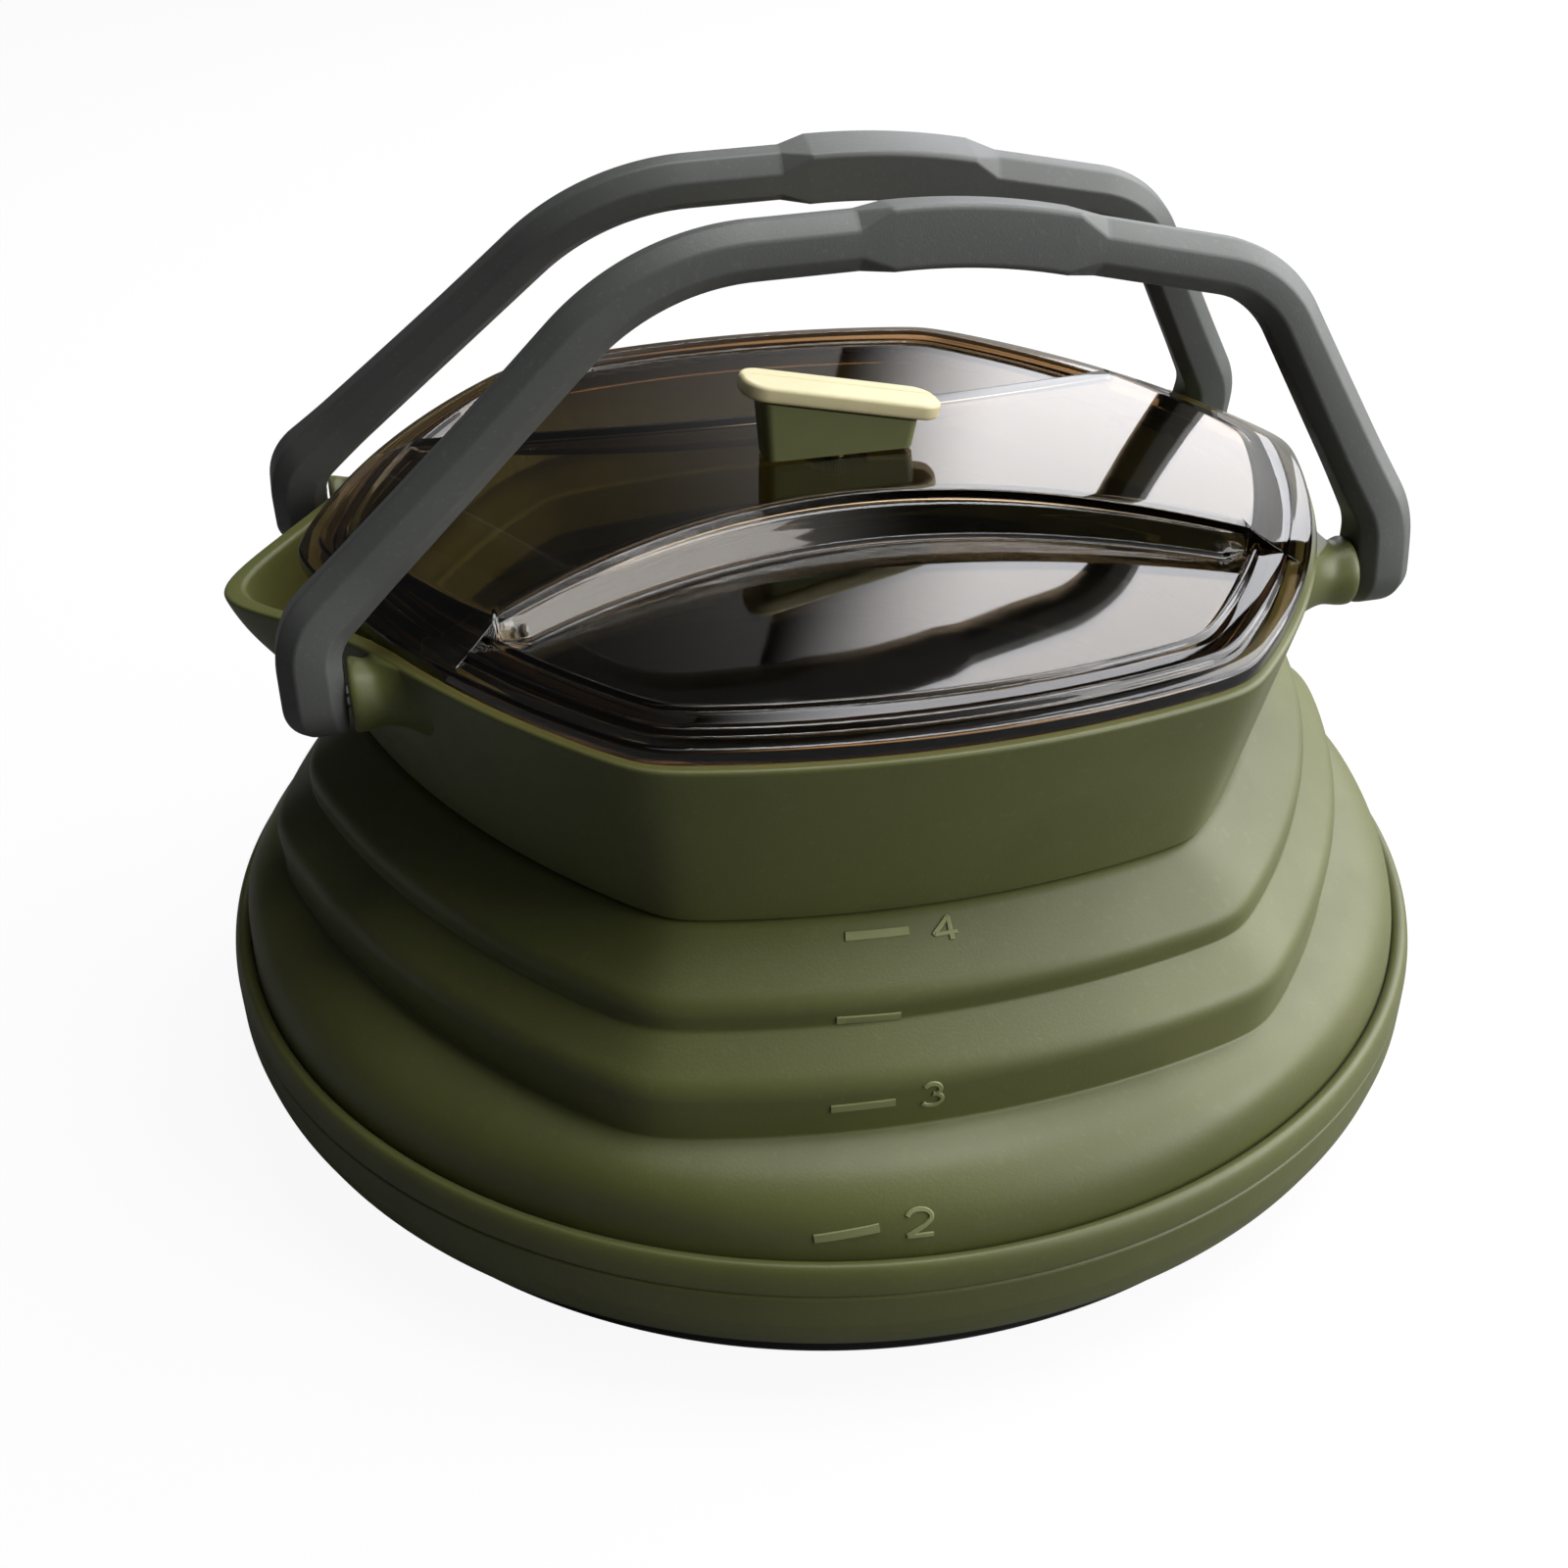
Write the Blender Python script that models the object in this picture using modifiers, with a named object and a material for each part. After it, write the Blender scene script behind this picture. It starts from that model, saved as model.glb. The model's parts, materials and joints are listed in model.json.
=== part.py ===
"""Collapsible camping kettle.

A round metal pan carries a folding silicone wall. The wall climbs in terraces and turns from a
circle into a rounded hexagon, where a stiff collar holds the spout, the lid and two bail handles.

Metres, +Z up. The origin is on the ground under the middle of the pan, the spout points to -X and
the front bail is on the -Y side. The collar is modelled in its raised place.
"""

import math

import bmesh
import bpy
import numpy as np
from mathutils import Euler, Matrix, Vector

# Clearances shared by all pieces
GAP = 0.0003
OVERRUN = 0.002
MERGE = 0.00001

# Pan and the ring round it
PAN_FLARE = 0.0028
PAN_HEIGHT = 0.0165
PAN_FLOOR = 0.0015
PAN_WALL = 0.0012
PAN_CORNER = 0.0022
BASE_RADIUS = 0.0910
SKIRT_WALL = 0.0040
SKIRT_BOTTOM = 0.0082
SKIRT_TAPER = 0.0016
PARTING_HEIGHT = 0.0180
BEAD_WIDTH = 0.0027
BEAD_HEIGHT = 0.0043
BEAD_CREASE_DROP = 0.0011

# Folding wall: each tier is a quarter of an ellipse between two creases
WALL = 0.0016
LOWER_TIER_HEIGHT = 0.0114
MIDDLE_TIER_HEIGHT = 0.0123
MIDDLE_TIER_STEP = 0.0055
UPPER_TIER_HEIGHT = 0.0101
UPPER_TIER_STEP = 0.0082
SLEEVE_HEIGHT = 0.0050
SLEEVE_WALL = 0.0012
LOWER_SQUARENESS = 5.9
MIDDLE_SQUARENESS = 8.5
ROUND = 2.0

# Collar and spout
COLLAR_HEIGHT = 0.0250
RIM_APOTHEM = 0.0694
COLLAR_TAPER = 0.0060
COLLAR_WALL = 0.0024
COLLAR_EDGE = 0.0005
COLLAR_SQUARENESS = 9.0
RIM_SQUARENESS = 7.9
SPOUT_REACH = 0.0094
SPOUT_DEPTH = 0.0215
SPOUT_HALF_WIDTH = 0.0185
SPOUT_WALL = 0.0022
SPOUT_TIP_ROUNDING = math.radians(5.0)
SPOUT_DROOP = 0.0026
SPOUT_BLEND = 26.0

# Stiffening ring inside the collar
STIFFENER_WALL = 0.0018
STIFFENER_HEIGHT = 0.0135
STIFFENER_DROP = 0.0003
STRAINER_SLOTS = 5
STRAINER_SLOT_WIDTH = 0.0022
STRAINER_SLOT_HEIGHT = 0.0070
STRAINER_PITCH = 0.0046

# Bail pivots
PIVOT_X = 0.0716
PIVOT_Y = 0.0290
PIVOT_DROP = 0.0050
BOSS_END_RADIUS = 0.0049
BOSS_ROOT_RADIUS = 0.0066
PIN_RADIUS = 0.0015
BUSHING_BORE_RADIUS = 0.0018
BUSHING_RADIUS = 0.0027
BUSHING_LENGTH = 0.0042
EYE_BORE_DEPTH = 0.0050

# Bails: the middle line in the bail's own plane, x along the pivot axis and h up from it
BAIL_WIDTH = 0.0070
BAIL_THICKNESS = 0.0065
BAIL_OUTER_CHAMFER = 0.0020
BAIL_INNER_CHAMFER = 0.0008
EYE_RADIUS = 0.0042
EYE_FLARE_LENGTH = 0.0140
GRIP_LENGTH = 0.0270
GRIP_RISE = 0.0003
GRIP_EDGE = 0.0007
GRIP_RAMP = 0.0040
BAIL_HEIGHT = 0.0504
LEFT_KNEE_HEIGHT_SHARE = 0.166
LEFT_SHOULDER_HEIGHT_SHARE = 0.985
LEFT_SHOULDER_X_SHARE = 0.382
GRIP_CORNER_X_SHARE = 0.194
RIGHT_SHOULDER_HEIGHT_SHARE = 0.83
RIGHT_SHOULDER_X_SHARE = 0.737
RIGHT_KNEE_HEIGHT_SHARE = 0.155
LEFT_KNEE_RADIUS = 0.008
LEFT_SHOULDER_RADIUS = 0.034
GRIP_CORNER_RADIUS = 0.090
RIGHT_SHOULDER_RADIUS = 0.016
RIGHT_KNEE_RADIUS = 0.011
END_ROOM_SHARE = 0.92
MIDDLE_ROOM_SHARE = 0.48
FRONT_BAIL_TILT = math.radians(6.0)
BACK_BAIL_TILT = math.radians(16.0)

# Lid
LID_SQUARENESS = 6.6
LID_OVERLAP_INSET = 0.0011
LID_BORDER_WIDTH = 0.0057
LID_BORDER_RISE = 0.0031
LID_RECESS_DROP = 0.0007
LID_SHEET = 0.0018
LID_SKIRT_DEPTH = 0.0036
LID_CROWN_RISE = 0.0050
LID_RIDGE_RUN = 0.0012
RIDGE_HALF_WIDTH = 0.0170
RIDGE_TIP_HALF_WIDTH = 0.0400
RIDGE_TIP_X = 0.0530
GASKET_WIDTH = 0.0010
GASKET_HEIGHT = 0.0018

# Knob
KNOB_OFFSET = 0.0025
STEM_LENGTH = 0.0212
STEM_WIDTH = 0.0062
STEM_TALL_SIDE = 0.0086
STEM_SHORT_SIDE = 0.0040
STEM_FLARE = 0.0011
STEM_EDGE = 0.0010
GRIP_SLAB_LENGTH = 0.0290
GRIP_SLAB_WIDTH = 0.0084
GRIP_SLAB_THICKNESS = 0.0023
GRIP_SLAB_CORNER = 0.0030
GRIP_SLAB_EDGE = 0.0006
GRIP_SLAB_SHIFT = 0.0006
GROOVE_WIDTH = 0.0005
GROOVE_DEPTH = 0.0003
SCREW_RADIUS = 0.0015
SCREW_HEAD_RADIUS = 0.0029
SCREW_HEAD_HEIGHT = 0.0016
SCREW_GRIP_LENGTH = 0.0028
WASHER_RADIUS = 0.0045
WASHER_THICKNESS = 0.0008

# Fineness
RING_POINTS = 60
COLLAR_POINTS = 84
SPOUT_CROWDING_SHARE = 0.25
TURN_STEPS = 60
SMALL_STEPS = 18
TIER_STEPS = 4
PATH_STEP = 0.0042
FINE_STEP = 0.0002

# Heights and apothems worked out from the sizes above
PAN_RIM_RADIUS = BASE_RADIUS - SKIRT_WALL
PAN_FOOT_RADIUS = PAN_RIM_RADIUS - PAN_FLARE
BEAD_TOP = PARTING_HEIGHT + BEAD_HEIGHT
BEAD_CREASE_RADIUS = BASE_RADIUS - BEAD_WIDTH
BEAD_CREASE = BEAD_TOP - BEAD_CREASE_DROP
CREASE_2 = BEAD_CREASE + LOWER_TIER_HEIGHT
CREASE_1 = CREASE_2 + MIDDLE_TIER_HEIGHT
COLLAR_BOTTOM = CREASE_1 + UPPER_TIER_HEIGHT
RIM = COLLAR_BOTTOM + COLLAR_HEIGHT
COLLAR_BOTTOM_APOTHEM = RIM_APOTHEM - COLLAR_TAPER
CREASE_1_APOTHEM = COLLAR_BOTTOM_APOTHEM + UPPER_TIER_STEP
CREASE_2_APOTHEM = CREASE_1_APOTHEM + MIDDLE_TIER_STEP
PIVOT_Z = RIM - PIVOT_DROP
BOSS_END_X = PIVOT_X - BAIL_WIDTH / 2 - GAP
LID_SEAT = RIM + GAP
LID_EDGE_APOTHEM = RIM_APOTHEM - LID_OVERLAP_INSET
LID_BORDER_APOTHEM = LID_EDGE_APOTHEM - LID_BORDER_WIDTH
LID_BORDER_TOP = LID_SEAT + LID_BORDER_RISE
LID_FLOOR = LID_BORDER_TOP - LID_RECESS_DROP
LID_CROWN = LID_BORDER_TOP + LID_CROWN_RISE
STIFFENER_TOP = RIM - STIFFENER_DROP
STIFFENER_BOTTOM = STIFFENER_TOP - STIFFENER_HEIGHT
BAIL_SIDES = {"front": -1, "back": 1}
PIVOT_ENDS = {"spout_side": -1, "far_side": 1}

# Outline of the collar from its lower edge to its rim, as shares of its height
COLLAR_HEIGHT_SHARES = (0.0, 0.02, 0.16, 0.32, 0.48, 0.64, 0.80, 0.92, 0.985, 1.0)
# Border of the lid from its outer edge inwards, as shares of its width and of its rise
BORDER_SHARES = ((0.0, 0.0), (0.0, 0.14), (0.16, 0.30), (0.48, 0.74), (0.93, 1.0))


def clear_scene():
    """Remove what a new file holds."""
    for item in list(bpy.data.objects):
        bpy.data.objects.remove(item, do_unlink=True)


def new_collection(name):
    """Make a collection in the scene."""
    collection = bpy.data.collections.new(name)
    bpy.context.scene.collection.children.link(collection)
    return collection


def new_material(name, srgb, roughness, metallic=0.0, alpha=1.0):
    """Make a Principled material from a colour in 0 to 255 display values."""
    material = bpy.data.materials.new(name)
    material.use_nodes = True
    shader = material.node_tree.nodes["Principled BSDF"]
    linear = [((value / 255 + 0.055) / 1.055) ** 2.4 for value in srgb]
    shader.inputs["Base Color"].default_value = (*linear, 1.0)
    shader.inputs["Roughness"].default_value = roughness
    shader.inputs["Metallic"].default_value = metallic
    shader.inputs["Alpha"].default_value = alpha
    material.diffuse_color = (*linear, alpha)
    return material


def add_object(name, mesh, collection, material=None):
    """Link a mesh to the scene as a named object."""
    item = bpy.data.objects.new(name, mesh)
    collection.objects.link(item)
    if material is not None:
        mesh.materials.append(material)
    return item


def mesh_from_bmesh(name, bm):
    """Turn a bmesh into a mesh whose faces point outwards."""
    bmesh.ops.recalc_face_normals(bm, faces=bm.faces)
    mesh = bpy.data.meshes.new(name)
    bm.to_mesh(mesh)
    bm.free()
    mesh.shade_smooth()
    mesh.set_sharp_from_angle(angle=math.radians(35))
    return mesh


def loft(name, sections, ring, collection, material=None):
    """Join rings of points by faces.

    A ring loft closes on itself like a tyre. Any other loft gets a cap at each end.
    """
    bm = bmesh.new()
    rows = [[bm.verts.new(point) for point in section] for section in sections]
    count = len(rows[0])
    pairs = list(zip(rows, rows[1:]))
    if ring:
        pairs.append((rows[-1], rows[0]))
    for lower, upper in pairs:
        for i in range(count):
            j = (i + 1) % count
            bm.faces.new((lower[i], lower[j], upper[j], upper[i]))
    if not ring:
        bm.faces.new(rows[0])
        bm.faces.new(rows[-1])
    return add_object(name, mesh_from_bmesh(name, bm), collection, material)


def turned(name, profile, collection, material, steps=TURN_STEPS, ring=True):
    """Turn a profile of (radius, height) points about Z with a Screw modifier."""
    mesh = bpy.data.meshes.new(name)
    edges = [(i, i + 1) for i in range(len(profile) - 1)]
    if ring:
        edges.append((len(profile) - 1, 0))
    mesh.from_pydata([(radius, 0, height) for radius, height in profile], edges, [])
    item = add_object(name, mesh, collection, material)
    screw = item.modifiers.new("turn", "SCREW")
    screw.angle = math.tau
    screw.steps = steps
    screw.render_steps = steps
    screw.use_merge_vertices = True
    screw.merge_threshold = MERGE
    screw.use_smooth_shade = True
    return item


def cylinder(name, start, end, radius, collection, material=None, end_radius=None, steps=SMALL_STEPS):
    """Make a cylinder or cone between two points."""
    axis = Vector(end) - Vector(start)
    bm = bmesh.new()
    bmesh.ops.create_cone(bm, cap_ends=True, segments=steps, radius1=radius,
                          radius2=radius if end_radius is None else end_radius, depth=axis.length)
    turn = Vector((0, 0, 1)).rotation_difference(axis).to_matrix().to_4x4()
    middle = Matrix.Translation((Vector(start) + Vector(end)) / 2)
    bmesh.ops.transform(bm, matrix=middle @ turn, verts=bm.verts)
    return add_object(name, mesh_from_bmesh(name, bm), collection, material)


def box(name, low, high, collection, material=None):
    """Make a box from its low and high corners."""
    low, high = Vector(low), Vector(high)
    bm = bmesh.new()
    bmesh.ops.create_cube(bm, size=1.0)
    size = Matrix.Diagonal((*(high - low), 1))
    bmesh.ops.transform(bm, matrix=Matrix.Translation((low + high) / 2) @ size, verts=bm.verts)
    return add_object(name, mesh_from_bmesh(name, bm), collection, material)


def combine(item, other, operation):
    """Add a Boolean modifier and hide the other shape as a guide."""
    boolean = item.modifiers.new(operation.lower(), "BOOLEAN")
    boolean.operation = operation
    boolean.solver = "EXACT"
    boolean.object = other
    other.hide_render = True
    other.display_type = "WIRE"
    return item


def bevel(item, width, segments=2):
    """Round the sharp edges of an object."""
    modifier = item.modifiers.new("edges", "BEVEL")
    modifier.width = width
    modifier.segments = segments
    modifier.limit_method = "ANGLE"
    modifier.angle_limit = math.radians(40)


def hexagon_radius(angles, apothem, squareness):
    """Radius of a rounded hexagon with corners on the X axis.

    The sum of the cosines to the three flats, each to the power of squareness, is 1.5 on a circle,
    where squareness is 2. Higher powers draw the outline out to a sharper hexagon.
    """
    flats = np.radians([30, 90, 150])
    total = sum(np.abs(np.cos(angles - flat)) ** squareness for flat in flats)
    at_flat = sum(np.abs(np.cos(flats[0] - flat)) ** squareness for flat in flats)
    return apothem * (total / at_flat) ** (-1 / squareness)


def even_angles(count=RING_POINTS):
    """Angles spread evenly round the axis."""
    return np.linspace(0, math.tau, count, endpoint=False)


def spout_angles():
    """Angles that crowd together at the spout."""
    spread = np.linspace(-1, 1, COLLAR_POINTS, endpoint=False)
    share = (1 - SPOUT_CROWDING_SHARE) * spread + SPOUT_CROWDING_SHARE * spread ** 3
    return math.pi * (1 + share)


def place(angles, radii, height):
    """Points at the given angles, radii and height."""
    heights = np.full_like(angles, height)
    return np.column_stack((radii * np.cos(angles), radii * np.sin(angles), heights)).tolist()


def hexagon_section(apothem, squareness, height, count=RING_POINTS):
    """One level ring of a rounded hexagon."""
    angles = even_angles(count)
    return place(angles, hexagon_radius(angles, apothem, squareness), height)


def collar_share(height):
    """Share of the collar's height, 0 at its lower edge and 1 at its rim."""
    return (height - COLLAR_BOTTOM) / COLLAR_HEIGHT


def collar_apothem(height):
    """Outer apothem of the collar, which widens towards its rim."""
    return COLLAR_BOTTOM_APOTHEM + COLLAR_TAPER * collar_share(height)


def collar_squareness(height):
    """Squareness of the collar, softer towards its rim."""
    return COLLAR_SQUARENESS + (RIM_SQUARENESS - COLLAR_SQUARENESS) * collar_share(height)


def spout_section(height, inset, beak_inset):
    """One level ring of the collar with the spout's beak.

    The beak is two straight lines in plan, from the spout's tip back to the collar, taken in polar
    form about the kettle's axis. A high power mean joins it to the hexagon with a soft valley. The
    beak's reach and half width shrink as a circle's quarter does, down the depth of the spout.
    """
    angles = spout_angles()
    hexagon = hexagon_radius(angles, collar_apothem(height) - inset, collar_squareness(height))
    corner = hexagon.max()
    fall = min(max((RIM - height) / SPOUT_DEPTH, 0), 1)
    reach = SPOUT_REACH * (1 - fall ** 2) - beak_inset
    half_width = SPOUT_HALF_WIDTH * math.sqrt(1 - fall ** 2) - beak_inset
    if reach <= 0 or half_width <= 0:
        return place(angles, hexagon, height)
    root = corner - SPOUT_HALF_WIDTH / math.sqrt(3) + inset
    tip = corner + inset + reach
    slope = math.atan2(half_width, tip - root)
    turn = np.sqrt((angles - math.pi) ** 2 + SPOUT_TIP_ROUNDING ** 2)
    turn = np.minimum(turn, math.pi - slope - SPOUT_TIP_ROUNDING)
    blunt = math.sin(slope) / math.sin(slope + SPOUT_TIP_ROUNDING)
    beak = tip / blunt * math.sin(slope) / np.sin(slope + turn)
    beak = np.where(turn < math.pi / 4, beak, 0)
    radii = (hexagon ** SPOUT_BLEND + beak ** SPOUT_BLEND) ** (1 / SPOUT_BLEND)
    points = np.array(place(angles, radii, height))
    points[:, 2] -= SPOUT_DROOP * ((radii - hexagon) / SPOUT_REACH) * (1 - fall)
    return points.tolist()


def make_pan(parts, material):
    """Shallow metal pan with a rounded foot, which is the kettle's floor."""
    inner_foot = PAN_FOOT_RADIUS - PAN_WALL
    inner_rim = PAN_RIM_RADIUS - PAN_WALL
    profile = [
        (0, PAN_FLOOR),
        (inner_foot - PAN_CORNER, PAN_FLOOR),
        (inner_foot, PAN_FLOOR + PAN_CORNER / 2),
        (inner_rim, SKIRT_BOTTOM),
        (inner_rim, PAN_HEIGHT),
        (PAN_RIM_RADIUS, PAN_HEIGHT),
        (PAN_RIM_RADIUS, SKIRT_BOTTOM),
        (PAN_FOOT_RADIUS + PAN_CORNER / 2, PAN_CORNER),
        (PAN_FOOT_RADIUS, PAN_CORNER / 3),
        (PAN_FOOT_RADIUS - PAN_CORNER / 3, 0),
        (0, 0),
    ]
    return turned("base_pan", profile, parts, material, ring=False)


def make_skirt(parts, material):
    """Ring of silicone that wraps the pan below the parting line."""
    inner = PAN_RIM_RADIUS + GAP
    middle = (PARTING_HEIGHT + SKIRT_BOTTOM) / 2
    profile = [
        (BASE_RADIUS - GAP, PARTING_HEIGHT),
        (BASE_RADIUS, PARTING_HEIGHT - GAP),
        (BASE_RADIUS, middle),
        (BASE_RADIUS - SKIRT_TAPER / 3, (middle + SKIRT_BOTTOM) / 2),
        (BASE_RADIUS - SKIRT_TAPER, SKIRT_BOTTOM),
        (inner, SKIRT_BOTTOM),
        (inner, PARTING_HEIGHT),
    ]
    return turned("base_skirt", profile, parts, material)


def bead_arc(steps):
    """Rounded top of the bead: half an ellipse from the parting line to the crease."""
    low_outer = PARTING_HEIGHT + GAP
    profile = []
    for i in range(steps + 1):
        angle = math.pi * i / steps
        radius = BASE_RADIUS - BEAD_WIDTH / 2 + BEAD_WIDTH / 2 * math.cos(angle)
        base = low_outer if math.cos(angle) > 0 else BEAD_CREASE - BEAD_CREASE_DROP
        profile.append((radius, base + (BEAD_TOP - base) * math.sin(angle)))
    return profile


def make_bead(parts, material):
    """Rounded clamp ring above the parting line."""
    arc = bead_arc(TIER_STEPS + 2)
    profile = list(reversed(arc)) + [(BEAD_CREASE_RADIUS, PARTING_HEIGHT + GAP)]
    return turned("base_bead", profile, parts, material)


def tier(low_apothem, low_height, high_apothem, high_height, low_square, high_square, steps):
    """Rings of one terrace from its lower crease up to its upper one.

    The outline is a quarter ellipse: upright at the lower crease, level at the upper one.
    """
    rings = []
    for i in range(steps + 1):
        angle = math.pi / 2 * i / steps
        apothem = high_apothem + (low_apothem - high_apothem) * math.cos(angle)
        height = low_height + (high_height - low_height) * math.sin(angle)
        square = low_square + (high_square - low_square) * i / steps
        rings.append((apothem, height, square))
    return rings


def make_wall(parts, material):
    """Folding silicone wall, from the bead up into the collar."""
    sleeve_apothem = COLLAR_BOTTOM_APOTHEM - COLLAR_WALL - GAP
    low = BEAD_CREASE_RADIUS - GAP
    shoulder = COLLAR_BOTTOM - GAP
    foot = PARTING_HEIGHT + GAP
    outer = [(low, foot, ROUND)]
    outer += tier(low, BEAD_CREASE, CREASE_2_APOTHEM, CREASE_2, ROUND, LOWER_SQUARENESS, TIER_STEPS)
    outer += tier(CREASE_2_APOTHEM, CREASE_2, CREASE_1_APOTHEM, CREASE_1,
                  LOWER_SQUARENESS, MIDDLE_SQUARENESS, TIER_STEPS)[1:]
    outer += tier(CREASE_1_APOTHEM, CREASE_1, COLLAR_BOTTOM_APOTHEM, shoulder,
                  MIDDLE_SQUARENESS, COLLAR_SQUARENESS, TIER_STEPS)[1:]
    outer.append((sleeve_apothem, shoulder, COLLAR_SQUARENESS))
    outer.append((sleeve_apothem, COLLAR_BOTTOM + SLEEVE_HEIGHT, COLLAR_SQUARENESS))
    inner = [(sleeve_apothem - SLEEVE_WALL, COLLAR_BOTTOM + SLEEVE_HEIGHT, COLLAR_SQUARENESS)]
    inner.append((sleeve_apothem - SLEEVE_WALL, shoulder - WALL, COLLAR_SQUARENESS))
    for apothem, height, square in reversed(outer[1:-2]):
        if height < shoulder - GAP:
            inner.append((apothem - WALL, height - WALL * collar_lean(height), square))
    inner.append((low - WALL, foot, ROUND))
    sections = [hexagon_section(apothem, square, height) for apothem, height, square in outer + inner]
    return loft("bellows_wall", sections, True, parts, material)


def collar_lean(height):
    """How far the inner skin hangs below the outer one: none at the bead, full at the collar."""
    share = (height - BEAD_CREASE) / (COLLAR_BOTTOM - BEAD_CREASE)
    return min(max(share, 0), 1) / 2


def wall_x(apothem, y):
    """Where a flat side next to the X axis's corner lies, at a given distance from that axis."""
    return (apothem - y / 2) / math.cos(math.pi / 6)


def make_boss(side, end, guides):
    """Boss for one pivot: a cone that widens into the wall, kept below the rim."""
    wall = wall_x(collar_apothem(PIVOT_Z), PIVOT_Y)
    angles = even_angles(SMALL_STEPS)
    sections = []
    for x, radius in ((BOSS_END_X, BOSS_END_RADIUS), (wall, BOSS_ROOT_RADIUS),
                      (wall - 2 * COLLAR_WALL, BOSS_ROOT_RADIUS)):
        y = side * PIVOT_Y + radius * np.cos(angles)
        z = np.minimum(PIVOT_Z + radius * np.sin(angles), RIM - COLLAR_EDGE)
        sections.append(np.column_stack((np.full_like(y, end * x), y, z)).tolist())
    return loft("guide_boss", sections, False, guides)


def make_collar(parts, guides, material):
    """Stiff hexagonal collar with its spout, four pivot bosses and the pin holes."""
    sections = []
    for share in COLLAR_HEIGHT_SHARES:
        height = COLLAR_BOTTOM + COLLAR_HEIGHT * share
        edge = COLLAR_EDGE if share in (0.0, 1.0) else 0.0
        sections.append(spout_section(height, edge, edge))
    collar = loft("collar_band", sections, False, parts, material)
    for side in BAIL_SIDES.values():
        for end in PIVOT_ENDS.values():
            combine(collar, make_boss(side, end, guides), "UNION")
    core = []
    for share in (-0.1, *COLLAR_HEIGHT_SHARES[1:-1], 1.1):
        height = COLLAR_BOTTOM + COLLAR_HEIGHT * share
        core.append(spout_section(height, COLLAR_WALL, COLLAR_WALL + SPOUT_WALL / 4))
    combine(collar, loft("guide_collar_core", core, False, guides), "DIFFERENCE")
    for hole in pin_shapes("guide_pin_hole", PIN_RADIUS + GAP, OVERRUN, guides, None):
        combine(collar, hole, "DIFFERENCE")
    return collar


def pin_inner_x():
    """Inner end of a pivot pin, just inside the stiffening ring's inner face."""
    return wall_x(stiffener_apothem(PIVOT_Z) - STIFFENER_WALL, PIVOT_Y - PIN_RADIUS) + GAP


def pin_outer_x():
    """Outer end of a pivot pin, short of the bottom of the bail's blind bore."""
    return PIVOT_X - BAIL_WIDTH / 2 + EYE_BORE_DEPTH - GAP


def pin_shapes(name, radius, extra, collection, material):
    """One cylinder on each of the four pivots."""
    shapes = []
    for side_name, side in BAIL_SIDES.items():
        for end_name, end in PIVOT_ENDS.items():
            start = (end * (pin_inner_x() - extra), side * PIVOT_Y, PIVOT_Z)
            stop = (end * (pin_outer_x() + extra), side * PIVOT_Y, PIVOT_Z)
            full_name = f"{name}_{side_name}_{end_name}"
            shapes.append(cylinder(full_name, start, stop, radius, collection, material))
    return shapes


def stiffener_apothem(height):
    """Outer apothem of the stiffening ring inside the collar."""
    return collar_apothem(height) - COLLAR_WALL - GAP


def make_stiffener(parts, guides, material):
    """Hard ring inside the collar: it seats the lid, holds the pins and strains the spout."""
    sections = []
    for share in (0.0, 0.5, 1.0):
        height = STIFFENER_BOTTOM + (STIFFENER_TOP - STIFFENER_BOTTOM) * share
        apothem = stiffener_apothem(height)
        sections.append(hexagon_section(apothem, collar_squareness(height), height))
    for share in (1.0, 0.5, 0.0):
        height = STIFFENER_BOTTOM + (STIFFENER_TOP - STIFFENER_BOTTOM) * share
        apothem = stiffener_apothem(height) - STIFFENER_WALL
        sections.append(hexagon_section(apothem, collar_squareness(height), height))
    ring = loft("rim_stiffener", sections, True, parts, material)
    middle = (STIFFENER_TOP + STIFFENER_BOTTOM) / 2
    for i in range(STRAINER_SLOTS):
        y = (i - (STRAINER_SLOTS - 1) / 2) * STRAINER_PITCH
        low = (-RIM_APOTHEM * 1.2, y - STRAINER_SLOT_WIDTH / 2, middle - STRAINER_SLOT_HEIGHT / 2)
        high = (-RIM_APOTHEM * 0.6, y + STRAINER_SLOT_WIDTH / 2, middle + STRAINER_SLOT_HEIGHT / 2)
        combine(ring, box("guide_strainer_slot", low, high, guides), "DIFFERENCE")
    for hole in pin_shapes("guide_ring_hole", PIN_RADIUS + GAP, OVERRUN, guides, None):
        combine(ring, hole, "DIFFERENCE")
    return ring


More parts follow.
